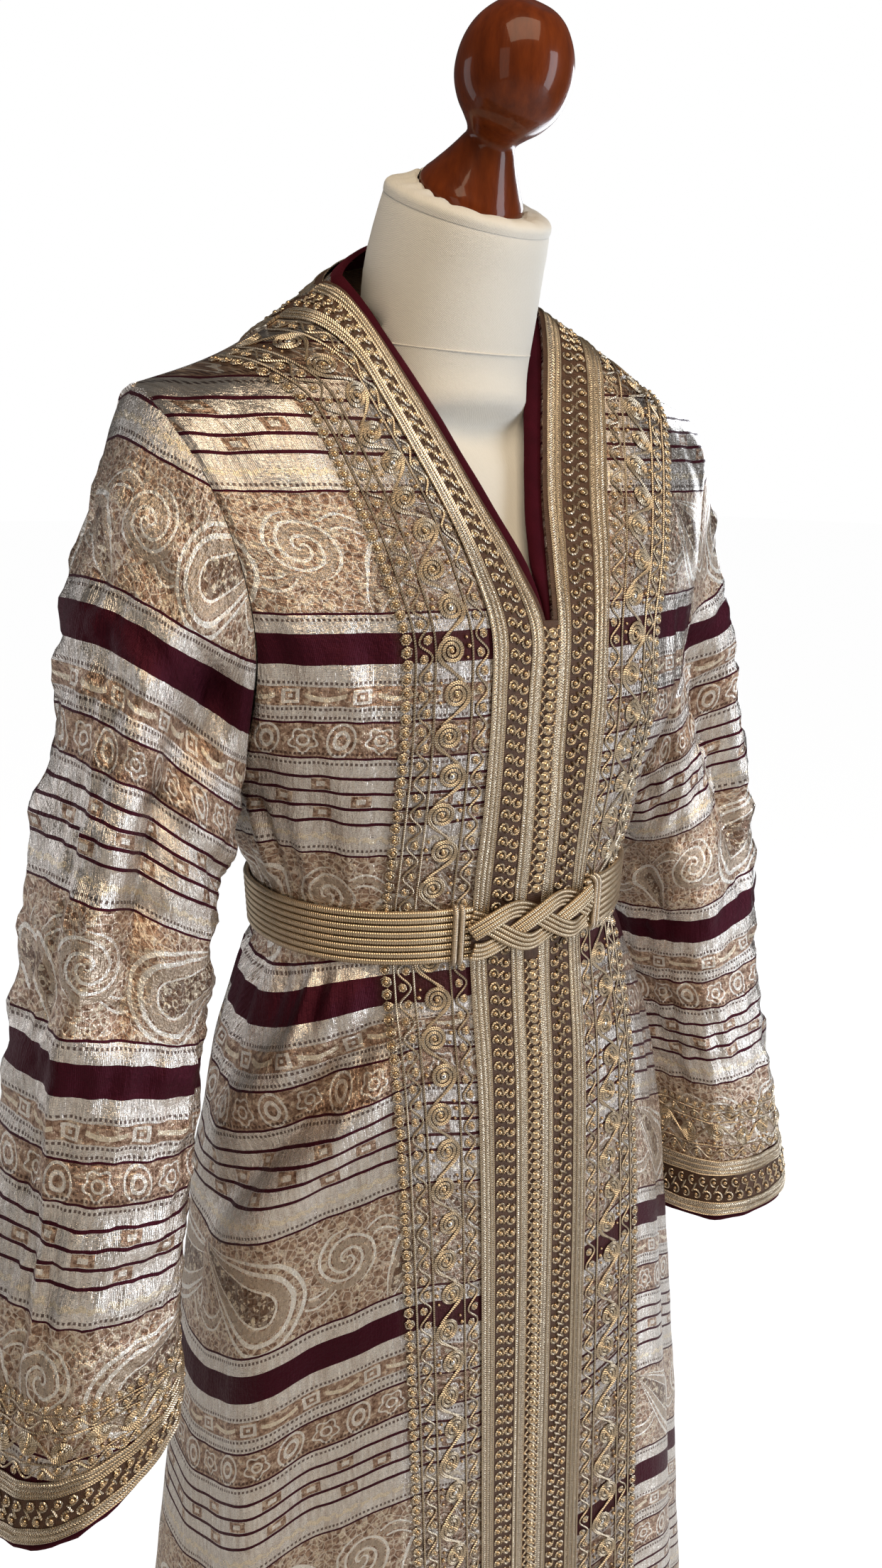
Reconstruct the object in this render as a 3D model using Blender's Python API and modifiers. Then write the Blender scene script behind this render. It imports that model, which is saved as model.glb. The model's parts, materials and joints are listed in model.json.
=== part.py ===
"""Moroccan kaftan on a limbless dress form, built as cloth walls and turned wood.

Metres, +Z up.  The floor is z = 0 under the centre of the stand's base.  The
front of the garment faces -Y and the wearer's right is -X.
"""
import math

import bmesh
import bpy
import numpy as np

COLLECTION_NAME = "moroccan_kaftan"

# Heights of the garment
HEM_Z = 0.030
BELT_LOW_Z = 1.037
BELT_HIGH_Z = 1.077
UNDERARM_Z = 1.145
V_POINT_Z = 1.266

# Neck point and shoulder tip of the shoulder seam: x, y, z
NECK_POINT = (0.084, 0.012, 1.487)
SHOULDER_TIP = (0.231, 0.000, 1.4135)
SHOULDER_SAG = 0.010
SHOULDER_ROUND = 0.052
BACK_NECK_Y = 0.072
BACK_NECK_Z = 1.516
OPENING_POWER = 1.25

# Cloth thicknesses and clearances
CLOTH = 0.0020
TRIM = 0.0014
FACING = 0.0012
GAP = 0.0004
SEAM_GAP = 0.0006

# Widths of the trims
BRAID_WIDTH = 0.014
LOOP_BAND_WIDTH = 0.024
TRIM_WIDTH = 0.052
CENTRE_GAP = 0.0030
FACING_SHOWS = 0.008
FACING_UNDER = 0.005
CUFF_TRIM_WIDTH = 0.048
CUFF_FACING_SHOWS = 0.006

# Horizontal sections: z, half_width, front_edge, front_side, back, exponent
SECTIONS = np.array([
    (0.030, 0.290, 0.150, 0.200, 0.235, 2.10),
    (0.300, 0.262, 0.143, 0.182, 0.210, 2.10),
    (0.600, 0.230, 0.136, 0.162, 0.182, 2.15),
    (0.800, 0.205, 0.132, 0.148, 0.160, 2.20),
    (0.940, 0.182, 0.126, 0.136, 0.136, 2.20),
    (1.010, 0.158, 0.119, 0.122, 0.114, 2.20),
    (1.057, 0.144, 0.117, 0.117, 0.102, 2.20),
    (1.095, 0.157, 0.121, 0.124, 0.112, 2.20),
    (1.145, 0.172, 0.124, 0.130, 0.118, 2.20),
    (1.200, 0.198, 0.125, 0.134, 0.120, 2.25),
    (1.266, 0.216, 0.127, 0.132, 0.118, 2.30),
    (1.340, 0.232, 0.087, 0.114, 0.112, 2.40),
    (1.400, 0.245, 0.055, 0.086, 0.104, 2.50),
    (1.450, 0.250, 0.028, 0.062, 0.094, 2.50),
    (1.510, 0.250, 0.006, 0.046, 0.080, 2.50),
])
EDGE_BLEND = 0.075

# Armhole seam: share of the height from underarm to shoulder, x
ARMHOLE = np.array([
    (0.00, 0.172), (0.10, 0.182), (0.22, 0.186), (0.36, 0.187),
    (0.55, 0.194), (0.75, 0.208), (0.90, 0.223), (1.00, 0.231),
])

# Sleeve rings: share, centre_x, centre_y, centre_z, half_width, front, back, outer_drop
SLEEVE_RINGS = np.array([
    (0.15, 0.221, 0.004, 1.210, 0.042, 0.062, 0.066, -2.40),
    (0.30, 0.240, 0.002, 1.135, 0.045, 0.060, 0.062, -1.60),
    (0.45, 0.258, -0.003, 1.048, 0.051, 0.061, 0.060, -0.94),
    (0.65, 0.282, -0.009, 0.915, 0.059, 0.063, 0.062, -0.36),
    (0.85, 0.304, -0.015, 0.790, 0.066, 0.070, 0.066, 0.04),
    (1.00, 0.316, -0.019, 0.708, 0.071, 0.076, 0.070, 0.18),
])
SLEEVE_EXPONENT = 2.2

# How each sleeve's hem hangs: outer_drop and centre height
HEM_SET = {"right": (0.42, 0.712), "left": (-0.10, 0.697)}

# Skirt folds: depth grows from the belt to the hem
FOLD_DEPTH = 0.013
FOLD_COUNT = 10.0

# Rows and columns of the cloth grids
SKIRT_ROWS = (HEM_Z, 0.200, 0.380, 0.560, 0.720, 0.850, 0.950, 1.005,
              BELT_LOW_Z, BELT_HIGH_Z, 1.108)
CHEST_ROWS = (0.0, 0.11, 0.23, 0.3538, 0.47, 0.59, 0.71, 0.80, 0.87, 0.93, 0.975, 1.0)
FRONT_STATIONS = (CENTRE_GAP, BRAID_WIDTH, BRAID_WIDTH + LOOP_BAND_WIDTH, TRIM_WIDTH)
FRONT_COLUMNS = 19
BACK_COLUMNS = 16
SLEEVE_SHARES = (0.0, 0.05, 0.12, 0.21, 0.32, 0.45, 0.60, 0.76, 0.92, 1.0)

# Dress form: rings of the torso below the shoulder: z, half_width, front, back
FORM_SECTIONS = np.array([
    (0.790, 0.150, 0.104, 0.118),
    (0.860, 0.158, 0.110, 0.122),
    (0.940, 0.152, 0.106, 0.116),
    (1.010, 0.136, 0.100, 0.098),
    (1.057, 0.128, 0.098, 0.088),
    (1.120, 0.142, 0.104, 0.098),
    (1.200, 0.168, 0.112, 0.108),
])
FORM_INSET = 0.0112
FORM_DROP = 0.0120
NECK_TILT = math.radians(23.6)
NECK_TOP = (0.0, -0.029, 1.538)
NECK_RADIUS = 0.0565

# Finial profile: distance along the neck's axis, radius
FINIAL_TILT = math.radians(34.0)
FINIAL_PROFILE = (
    (0.1215, 0.0000), (0.1210, 0.0130), (0.1180, 0.0195), (0.1105, 0.0275),
    (0.0985, 0.0345), (0.0835, 0.0372), (0.0690, 0.0350), (0.0580, 0.0288),
    (0.0500, 0.0212), (0.0450, 0.0172), (0.0422, 0.0164), (0.0385, 0.0182),
    (0.0280, 0.0240), (0.0170, 0.0310), (0.0085, 0.0362), (0.0050, 0.0366),
    (0.0030, 0.0350), (0.0030, 0.0000),
)
FINIAL_SEAT = 0.0024
POLE_RADIUS = 0.016
POLE_FOOT_Z = 0.060
BASE_PROFILE = (
    (0.0595, 0.0000), (0.0595, 0.0300), (0.0540, 0.0360), (0.0460, 0.0400),
    (0.0400, 0.0620), (0.0330, 0.1150), (0.0270, 0.1500), (0.0210, 0.1650),
    (0.0100, 0.1700), (0.0020, 0.1690), (0.0000, 0.1660), (0.0000, 0.0000),
)

# Belt
BELT_THICKNESS = 0.0045
KEEPER_STATION = 0.061
KNOT_HALF_LENGTH = 0.0535
KEEPER_WIDTH = 0.0085

# Button column down the centre
BUTTON_WIDTH = 0.0100
BUTTON_RISE = 0.0040


def cubic(x, knots, values):
    """Value at x of the smooth cubic through the knots."""
    x = np.clip(np.asarray(x, float), knots[0], knots[-1])
    slope = np.gradient(values, knots)
    i = np.clip(np.searchsorted(knots, x, side="right") - 1, 0, len(knots) - 2)
    step = knots[i + 1] - knots[i]
    t = (x - knots[i]) / step
    return ((1 + 2 * t) * (1 - t) ** 2 * values[i] + t * (1 - t) ** 2 * step * slope[i]
            + t * t * (3 - 2 * t) * values[i + 1] + t * t * (t - 1) * step * slope[i + 1])


def smooth_step(t):
    """Zero to one with level ends."""
    t = np.clip(t, 0.0, 1.0)
    return t * t * (3.0 - 2.0 * t)


def section_at(z):
    """Half width, edge depth, side depth, back depth and exponent at height z."""
    return [cubic(z, SECTIONS[:, 0], SECTIONS[:, k]) for k in range(1, 6)]


def seam_share(x):
    """Share of the way from the neck point to the shoulder tip."""
    return np.clip((x - NECK_POINT[0]) / (SHOULDER_TIP[0] - NECK_POINT[0]), 0.0, 1.0)


def shoulder_z(x, back):
    """Height of the top edge of the cloth above x."""
    f = seam_share(x)
    ridge = (NECK_POINT[2] + (SHOULDER_TIP[2] - NECK_POINT[2]) * f
             - SHOULDER_SAG * np.sin(np.pi * f))
    if back:
        inner = BACK_NECK_Z + (NECK_POINT[2] - BACK_NECK_Z) * (x / NECK_POINT[0]) ** 2
        ridge = np.where(x < NECK_POINT[0], inner, ridge)
    return ridge


def front_depth(x, z):
    """Depth of the front: straight along the opening's edge, fuller beside it."""
    _, edge, side, _, _ = section_at(z)
    start = opening_x(z)
    return edge + (side - edge) * smooth_step((x - start) / EDGE_BLEND)


def opening_x(z):
    """Half width of the neck opening at height z."""
    share = np.clip((z - V_POINT_Z) / (NECK_POINT[2] - V_POINT_Z), 0.0, 1.0)
    return NECK_POINT[0] * share ** OPENING_POWER


def chest_y(x, z, back):
    """Depth position of the cloth above the underarm."""
    half, _, _, rear, power = section_at(z)
    depth = rear if back else front_depth(x, z)
    y = depth * np.maximum(1.0 - np.minimum(np.abs(x) / half, 1.0) ** power, 0.0) ** (1.0 / power)
    f = seam_share(x)
    top = NECK_POINT[1] + (SHOULDER_TIP[1] - NECK_POINT[1]) * f
    if back:
        inner = BACK_NECK_Y + (NECK_POINT[1] - BACK_NECK_Y) * (x / NECK_POINT[0]) ** 2
        top = np.where(x < NECK_POINT[0], inner, top)
    q = np.clip((shoulder_z(x, back) - z) / SHOULDER_ROUND, 0.0, 1.0)
    turn = np.sqrt(np.maximum(1.0 - (1.0 - q) ** 2, 0.0))
    return top + ((y if back else -y) - top) * turn


def skirt_row(z, back, count=181):
    """Half section from the centre to the side at height z below the underarm."""
    half, edge, side, rear, power = section_at(np.full(count, float(z)))
    angle = np.linspace(0.0, math.pi / 2, count)
    x = half * np.sin(angle) ** (2.0 / power)
    if back:
        depth = rear
    else:
        depth = edge + (side - edge) * smooth_step(x / (2.0 * EDGE_BLEND))
    y = depth * np.cos(angle) ** (2.0 / power)
    girth = angle if not back else math.pi - angle
    reach = np.clip((BELT_LOW_Z - z) / (BELT_LOW_Z - HEM_Z), 0.0, 1.0) ** 0.8
    window = smooth_step((girth - 0.62) / 0.35)
    push = FOLD_DEPTH * reach * window * np.cos(FOLD_COUNT * girth + 1.1)
    norm = np.hypot(x / half ** 2, y / depth ** 2)
    x = x + push * (x / half ** 2) / norm
    y = y + push * (y / depth ** 2) / norm
    return np.stack([x, y if back else -y, np.full(count, float(z))], axis=1)


def chest_row(share, back, count=181):
    """Half row from the opening or the centre back to the armhole."""
    out = float(cubic(share, ARMHOLE[:, 0], ARMHOLE[:, 1]))
    start = 0.0
    v_share = (V_POINT_Z - UNDERARM_Z) / (NECK_POINT[2] - UNDERARM_Z)
    if not back and share > v_share:
        start = NECK_POINT[0] * ((share - v_share) / (1.0 - v_share)) ** OPENING_POWER
    x = start + (out - start) * np.sin(np.linspace(0.0, math.pi / 2, count))
    z = UNDERARM_Z + (shoulder_z(x, back) - UNDERARM_Z) * share
    return np.stack([x, chest_y(x, z, back), z], axis=1)


def at_lengths(points, lengths):
    """Points at the given distances along a polyline."""
    run = np.r_[0.0, np.cumsum(np.linalg.norm(np.diff(points, axis=0), axis=1))]
    return np.stack([np.interp(lengths, run, points[:, k]) for k in range(3)], axis=1), run[-1]


def half_grid(back):
    """Rows by columns of cloth points on the +X half, hem to shoulder."""
    rows = []
    for kind, value in [("skirt", z) for z in SKIRT_ROWS] + [("chest", w) for w in CHEST_ROWS]:
        curve = skirt_row(value, back) if kind == "skirt" else chest_row(value, back)
        total = at_lengths(curve, [0.0])[1]
        if back:
            lengths = total * np.linspace(0.0, 1.0, BACK_COLUMNS)
        else:
            rest = np.linspace(TRIM_WIDTH, total, FRONT_COLUMNS - len(FRONT_STATIONS) + 1)
            lengths = np.r_[FRONT_STATIONS[:-1], rest]
        rows.append(at_lengths(curve, lengths)[0])
    return np.array(rows)


def grid_normals(grid, flip):
    """Unit normals of a grid of points, pointing out of the garment."""
    along = np.gradient(grid, axis=0)
    across = np.gradient(grid, axis=1)
    normal = np.cross(across, along)
    normal /= np.maximum(np.linalg.norm(normal, axis=2, keepdims=True), 1e-12)
    return -normal if flip else normal


def unit(vectors):
    """Vectors scaled to length one."""
    return vectors / np.maximum(np.linalg.norm(vectors, axis=-1, keepdims=True), 1e-12)


def sleeve_grid(side):
    """Rings of one sleeve, on the +X side, from the armhole to the hem."""
    front = np.array([chest_row(w, False)[-1] for w in CHEST_ROWS])
    rear = np.array([chest_row(w, True)[-1] for w in CHEST_ROWS])
    seam = np.vstack([front[::-1], rear[1:-1]])
    count = len(seam)
    angle = 2.0 * math.pi * np.r_[0.0, np.cumsum(np.linalg.norm(np.diff(seam, axis=0), axis=1))]
    total = np.linalg.norm(np.diff(np.vstack([seam, seam[:1]]), axis=0), axis=1).sum()
    angle = angle / total
    half_turn = angle[len(CHEST_ROWS) - 1]
    angle = np.where(angle <= half_turn, angle * math.pi / half_turn,
                     math.pi + (angle - half_turn) * math.pi / (2 * math.pi - half_turn))
    rings = [seam]
    for ring in SLEEVE_RINGS:
        share, cx, cy, cz, half, ahead, behind, drop = ring
        if share == 1.0:
            drop, cz = HEM_SET[side]
        c, s = np.cos(angle), np.sin(angle)
        lx = half * np.sign(c) * np.abs(c) ** (2.0 / SLEEVE_EXPONENT)
        depth = np.where(s > 0, ahead, behind)
        ly = -depth * np.sign(s) * np.abs(s) ** (2.0 / SLEEVE_EXPONENT)
        rings.append(np.stack([cx + lx, cy + ly, cz - drop * lx], axis=1))
    knots = np.r_[0.0, SLEEVE_RINGS[:, 0]]
    rings = np.array(rings)
    shares = np.array(SLEEVE_SHARES)
    grid = np.zeros((len(shares), count, 3))
    for j in range(count):
        for k in range(3):
            grid[:, j, k] = cubic(shares, knots, rings[:, j, k])
    return grid


def ring_normals(grid):
    """Outward normals of a grid of closed rings."""
    along = np.gradient(grid, axis=0)
    around = np.roll(grid, -1, axis=1) - np.roll(grid, 1, axis=1)
    normal = unit(np.cross(along, around))
    middle = grid.mean(axis=1, keepdims=True)
    if np.sum(normal * (grid - middle)) < 0:
        normal = -normal
    return normal


class Cloth:
    """Points and shared normals of every cloth grid on the +X side."""

    def __init__(self):
        self.front = half_grid(False)
        self.back = half_grid(True)
        self.sleeve = {side: sleeve_grid(side) for side in HEM_SET}
        self.front_normal = grid_normals(self.front, False)
        self.back_normal = grid_normals(self.back, True)
        self.sleeve_normal = {side: ring_normals(self.sleeve[side]) for side in HEM_SET}
        self.share_seams()

    def share_seams(self):
        """Give both sides of each seam the same normals."""
        skirt = len(SKIRT_ROWS)
        side = unit(self.front_normal[:, -1] + self.back_normal[:, -1])
        self.front_normal[:skirt + 1, -1] = side[:skirt + 1]
        self.back_normal[:skirt + 1, -1] = side[:skirt + 1]
        self.back_normal[:, 0, 0] = 0.0
        self.back_normal = unit(self.back_normal)
        top = self.front.shape[1]
        for j in range(top):
            x = self.front[-1, j, 0]
            up = np.array([0.28 * seam_share(x), 0.0, 1.0])
            self.front_normal[-1, j] = unit(up)
        for j in range(self.back.shape[1]):
            x = self.back[-1, j, 0]
            if x >= NECK_POINT[0] - 0.002:
                self.back_normal[-1, j] = unit(np.array([0.28 * seam_share(x), 0.0, 1.0]))
        count = len(CHEST_ROWS)
        for k in range(count):
            j = count - 1 - k
            self.blend_armhole(self.front_normal, skirt + k, j)
            if 0 < k < count - 1:
                self.blend_armhole(self.back_normal, skirt + k, count - 1 + k)
        self.back_normal[skirt, -1] = self.front_normal[skirt, -1]
        self.back_normal[-1, -1] = self.front_normal[-1, -1]

    def blend_armhole(self, normals, row, ring_point):
        """One shared normal where a panel's row ends on the armhole."""
        shared = unit(normals[row, -1] + self.sleeve_normal["right"][0, ring_point])
        normals[row, -1] = shared
        for own in self.sleeve_normal.values():
            own[0, ring_point] = shared


def wall(name, outer, inner, closed=False, mirror=False):
    """One closed solid between two grids of points."""
    outer, inner = np.array(outer), np.array(inner)
    if mirror:
        outer = outer * [-1.0, 1.0, 1.0]
        inner = inner * [-1.0, 1.0, 1.0]
    rows, columns = outer.shape[:2]
    mesh = bpy.data.meshes.new(name)
    work = bmesh.new()
    top = [[work.verts.new(p) for p in row] for row in outer]
    low = [[work.verts.new(p) for p in row] for row in inner]
    spans = columns if closed else columns - 1

    def quad(a, b, c, d):
        work.faces.new((a, b, c))
        work.faces.new((a, c, d))

    for i in range(rows - 1):
        for j in range(spans):
            k = (j + 1) % columns
            quad(top[i][j], top[i][k], top[i + 1][k], top[i + 1][j])
            quad(low[i][j], low[i + 1][j], low[i + 1][k], low[i][k])
    for j in range(spans):
        k = (j + 1) % columns
        quad(top[0][j], low[0][j], low[0][k], top[0][k])
        quad(top[-1][j], top[-1][k], low[-1][k], low[-1][j])
    if not closed:
        for i in range(rows - 1):
            quad(top[i][0], top[i + 1][0], low[i + 1][0], low[i][0])
            quad(top[i][-1], low[i][-1], low[i + 1][-1], top[i + 1][-1])
    bmesh.ops.recalc_face_normals(work, faces=work.faces)
    work.to_mesh(mesh)
    work.free()
    obj = bpy.data.objects.new(name, mesh)
    bpy.data.collections[COLLECTION_NAME].objects.link(obj)
    return obj


def solid_from_rings(name, rings):
    """One closed solid through rings, capped with a fan at both ends."""
    rings = np.array(rings)
    mesh = bpy.data.meshes.new(name)
    work = bmesh.new()
    verts = [[work.verts.new(p) for p in ring] for ring in rings]
    count = rings.shape[1]
    for i in range(len(rings) - 1):
        for j in range(count):
            k = (j + 1) % count
            work.faces.new((verts[i][j], verts[i][k], verts[i + 1][k]))
            work.faces.new((verts[i][j], verts[i + 1][k], verts[i + 1][j]))
    for ring in (verts[0], verts[-1]):
        centre = np.mean([v.co for v in ring], axis=0)
        hub = work.verts.new(centre)
        for j in range(count):
            work.faces.new((ring[j], ring[(j + 1) % count], hub))
    bmesh.ops.recalc_face_normals(work, faces=work.faces)
    work.to_mesh(mesh)
    work.free()
    obj = bpy.data.objects.new(name, mesh)
    bpy.data.collections[COLLECTION_NAME].objects.link(obj)
    return obj


def turned(name, profile, steps=28):
    """A turned solid about +Z from a profile of height and radius."""
    mesh = bpy.data.meshes.new(name)
    points = [(radius, 0.0, height) for height, radius in profile]
    edges = [(i, i + 1) for i in range(len(points) - 1)]
    mesh.from_pydata(points, edges, [])
    obj = bpy.data.objects.new(name, mesh)
    bpy.data.collections[COLLECTION_NAME].objects.link(obj)
    screw = obj.modifiers.new("Turn", "SCREW")
    screw.angle = math.tau
    screw.steps = steps
    screw.render_steps = steps
    screw.use_merge_vertices = True
    screw.merge_threshold = 1e-5
    return obj


def paint(obj, colour, roughness, metallic=0.0):
    """Give an object one plain material."""
    material = bpy.data.materials.new(obj.name + "_finish")
    material.use_nodes = True
    shader = material.node_tree.nodes["Principled BSDF"]
    shader.inputs["Base Color"].default_value = (*colour, 1.0)
    shader.inputs["Roughness"].default_value = roughness
    shader.inputs["Metallic"].default_value = metallic
    obj.data.materials.append(material)
    return obj


def moved(grid, normals, distance):
    """Grid points moved along their normals."""
    return grid + normals * distance


def panels(cloth):
    """Front panels, back panel and sleeves as walls of brocade."""
    silver = (0.45, 0.36, 0.24)
    made = []
    front, normal = cloth.front.copy(), cloth.front_normal
    shift = np.zeros_like(front)
    shift[-1, :, 1] = -SEAM_GAP / 2
    shift[:len(SKIRT_ROWS) + 1, -1, 1] = -SEAM_GAP / 2
    front = front + shift
    for name, mirror in (("front_right", True), ("front_left", False)):
        made.append(wall(name, front, moved(front, normal, -CLOTH), mirror=mirror))
    half, back_normal = cloth.back.copy(), cloth.back_normal
    half[-1, half[-1, :, 0] >= NECK_POINT[0] - 0.002, 1] += SEAM_GAP / 2
    half[:len(SKIRT_ROWS) + 1, -1, 1] += SEAM_GAP / 2
    flip = np.array([-1.0, 1.0, 1.0])
    full = np.concatenate([half[:, :0:-1] * flip, half], axis=1)
    full_normal = np.concatenate([back_normal[:, :0:-1] * flip, back_normal], axis=1)
    made.append(wall("back_panel", full, moved(full, full_normal, -CLOTH)))
    for side, mirror in (("right", True), ("left", False)):
        sleeve, ring_normal = sleeve_points(cloth, side)
        made.append(wall("sleeve_" + side, sleeve, moved(sleeve, ring_normal, -CLOTH),
                         closed=True, mirror=mirror))
    for obj in made:
        paint(obj, silver, 0.45, 0.3)


def sleeve_points(cloth, side):
    """Sleeve rings, the first moved off the armhole by the seam gap."""
    sleeve = cloth.sleeve[side].copy()
    sleeve[0, :, 0] += SEAM_GAP
    return sleeve, cloth.sleeve_normal[side]


def placket_trims(cloth):
    """Braid and loop bands on the front edges, and round the back of the neck."""
    gold = (0.42, 0.28, 0.13)
    columns = len(FRONT_STATIONS)
    grid = cloth.front[:, :columns].copy()
    grid[-1, :, 1] -= SEAM_GAP / 2
    normal = cloth.front_normal[:, :columns]
    for name, mirror in (("placket_band_right", True), ("placket_band_left", False)):
        obj = wall(name, moved(grid, normal, GAP + TRIM), moved(grid, normal, GAP), mirror=mirror)
        paint(obj, gold, 0.45, 0.6)
    outer, inner = back_neck_band()
    paint(wall("neck_band_back", outer, inner), gold, 0.45, 0.6)


def back_neck_surface(turn, distance):
    """Point on the back at a distance from the neck edge, turned from the shoulder."""
    x = NECK_POINT[0] * math.cos(turn) + distance * math.cos(turn)
    drop = distance * math.sin(turn)
    z = float(shoulder_z(np.array(x), True)) - drop
    y = float(chest_y(np.array(x), np.array(z), True))
    return np.array([x, y, z])


def back_neck_band():
    """Outer and inner points of the band across the back of the neck."""
    turns = np.linspace(0.0, math.pi, 17)
    stations = (0.001, BRAID_WIDTH, BRAID_WIDTH + LOOP_BAND_WIDTH, TRIM_WIDTH)
    grid = np.zeros((len(turns), len(stations), 3))
    for i, turn in enumerate(turns):
        side = 1.0 if turn <= math.pi / 2 else -1.0
        own = turn if side > 0 else math.pi - turn
        for j, distance in enumerate(stations):
            grid[i, j] = back_neck_surface(own, distance) * [side, 1.0, 1.0]
    grid[0, :, 1] += SEAM_GAP
    grid[-1, :, 1] += SEAM_GAP
    normal = unit(np.cross(np.gradient(grid, axis=0), np.gradient(grid, axis=1)))
    if normal[8, 1, 1] < 0:
        normal = -normal
    normal[0] = (0.0, 0.0, 1.0)
    normal[-1] = (0.0, 0.0, 1.0)
    low = 0.0018
    return moved(grid, normal, low + TRIM), moved(grid, normal, low)


def neck_facing(cloth):
    """Velvet facing that shows inside the opening, from V point round the neck."""
    first = len(SKIRT_ROWS) + 3
    edge = cloth.front[first:, 0]
    away = unit(cloth.front[first:, 1] - cloth.front[first:, 0])
    normal = cloth.front_normal[first:, 0].copy()
    normal[-1] = unit(normal[-2] + np.array([0.0, 0.0, 0.6]))
    turns = np.linspace(0.0, math.pi, 15)[1:-1]
    rear_edge, rear_away = [], []
    for turn in turns:
        side = 1.0 if turn <= math.pi / 2 else -1.0
        own = turn if side > 0 else math.pi - turn
        near, far = back_neck_surface(own, 0.0), back_neck_surface(own, 0.012)
        flip = np.array([side, 1.0, 1.0])
        rear_edge.append(near * flip)
        rear_away.append(unit((far - near) * flip))
    rear_edge, rear_away = np.array(rear_edge), np.array(rear_away)
    tangent = np.gradient(rear_edge, axis=0)
    rear_normal = unit(np.cross(tangent, rear_away))
    rear_normal *= np.sign(rear_normal[:, 2:3] + rear_normal[:, 1:2])
    flip = np.array([-1.0, 1.0, 1.0])
    edges = np.vstack([edge, rear_edge, (edge * flip)[::-1]])
    aways = np.vstack([away, rear_away, (away * flip)[::-1]])
    normals = np.vstack([normal, rear_normal, (normal * flip)[::-1]])
    for _ in range(2):
        middle = unit(normals[:-2] + 2 * normals[1:-1] + normals[2:])
        normals[1:-1] = middle
        aways[1:-1] = unit(aways[:-2] + 2 * aways[1:-1] + aways[2:])
    top = CLOTH + GAP + 0.0003
    outer = np.stack([edges + aways * s - normals * top
                      for s in (-FACING_SHOWS, -0.001, FACING_UNDER)], axis=1)
    inner = outer - normals[:, None, :] * FACING
    paint(wall("neck_facing", outer, inner), (0.05, 0.006, 0.014), 0.9)


def button_strip(cloth):
    """Raised column of small knots down the centre, V point to hem."""
    last = len(SKIRT_ROWS) + 4
    rise = GAP + TRIM + GAP
    edge = cloth.front[:last, 0]
    rows_low, rows_top = [], []
    for point in edge:
        stations = np.array([-1.0, -0.5, 0.0, 0.5, 1.0]) * BUTTON_WIDTH / 2
        lift = np.array([0.001, 0.8, 1.0, 0.8, 0.001]) * BUTTON_RISE
        lift = np.maximum(lift, 0.0008)
        y = point[1] - rise
        low = np.stack([stations, np.full(5, y), np.full(5, point[2])], axis=1)
        top = low + np.stack([np.zeros(5), -lift, np.zeros(5)], axis=1)
        rows_low.append(low)
        rows_top.append(top)
    rows_low, rows_top = np.array(rows_low), np.array(rows_top)
    belt = [len(SKIRT_ROWS) - 3, len(SKIRT_ROWS) - 2]
    for i in belt:
        rows_top[i] = rows_low[i] + [0.0, -0.0008, 0.0]
    paint(wall("button_strip", rows_top, rows_low), (0.42, 0.28, 0.13), 0.45, 0.6)


def cuff_trims(cloth):
    """Trim band on each sleeve hem and the facing that shows below it."""
    top = CLOTH + GAP
    for side, mirror in (("right", True), ("left", False)):
        sleeve, normal = sleeve_points(cloth, side)
        grid, own = sleeve[-2:], normal[-2:]
        away = unit(sleeve[-1] - sleeve[-2])
        ends = [sleeve[-1] - away * 0.004, sleeve[-1] + away * CUFF_FACING_SHOWS]
        band = wall("cuff_band_" + side, moved(grid, own, GAP + TRIM), moved(grid, own, GAP),
                    closed=True, mirror=mirror)
        paint(band, (0.42, 0.28, 0.13), 0.45, 0.6)
        facing = np.array([end - normal[-1] * top for end in ends])
        obj = wall("cuff_facing_" + side, facing, facing - normal[-1] * FACING,
                   closed=True, mirror=mirror)
        paint(obj, (0.05, 0.006, 0.014), 0.9)


def belt_ring(cloth):
    """Closed ring of points and normals round the waist at both belt edges."""
    low, high = len(SKIRT_ROWS) - 3, len(SKIRT_ROWS) - 2
    rings, normals = [], []
    flip = np.array([-1.0, 1.0, 1.0])
    for row in (low, high):
        front, back = cloth.front[row], cloth.back[row]
        front_n, back_n = cloth.front_normal[row], cloth.back_normal[row]
        half = np.vstack([front, back[-2:0:-1]])
        half_n = np.vstack([front_n, back_n[-2:0:-1]])
        centre = back[:1]
        rings.append(np.vstack([half, centre, (half * flip)[::-1]]))
        normals.append(np.vstack([half_n, back_n[:1], (half_n * flip)[::-1]]))
    return np.array(rings), np.array(normals)


def belt(cloth):
    """Corded strap, plaited knot in front and the two keepers."""
    rings, normals = belt_ring(cloth)
    rise = GAP
    girth = np.r_[0.0, np.cumsum(np.linalg.norm(np.diff(rings[0], axis=0), axis=1))]
    keep = (girth > KNOT_HALF_LENGTH) & (girth < girth[-1] - KNOT_HALF_LENGTH)
    stations = np.r_[KNOT_HALF_LENGTH + 0.001, girth[keep], girth[-1] - KNOT_HALF_LENGTH - 0.001]

    def along(values):
        return np.stack([np.stack([np.interp(stations, girth, row[:, k]) for k in range(3)], axis=1)
                         for row in values])

    base, normal = along(rings), unit(along(normals))
    inner, outer = moved(base, normal, rise), moved(base, normal, rise + BELT_THICKNESS)
    gold = (0.33, 0.24, 0.10)
    paint(wall("belt_strap", outer, inner), gold, 0.35, 0.5)
    knot(gold)
    for side, sign in (("right", -1.0), ("left", 1.0)):
        keeper("belt_keeper_" + side, sign, gold)


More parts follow.
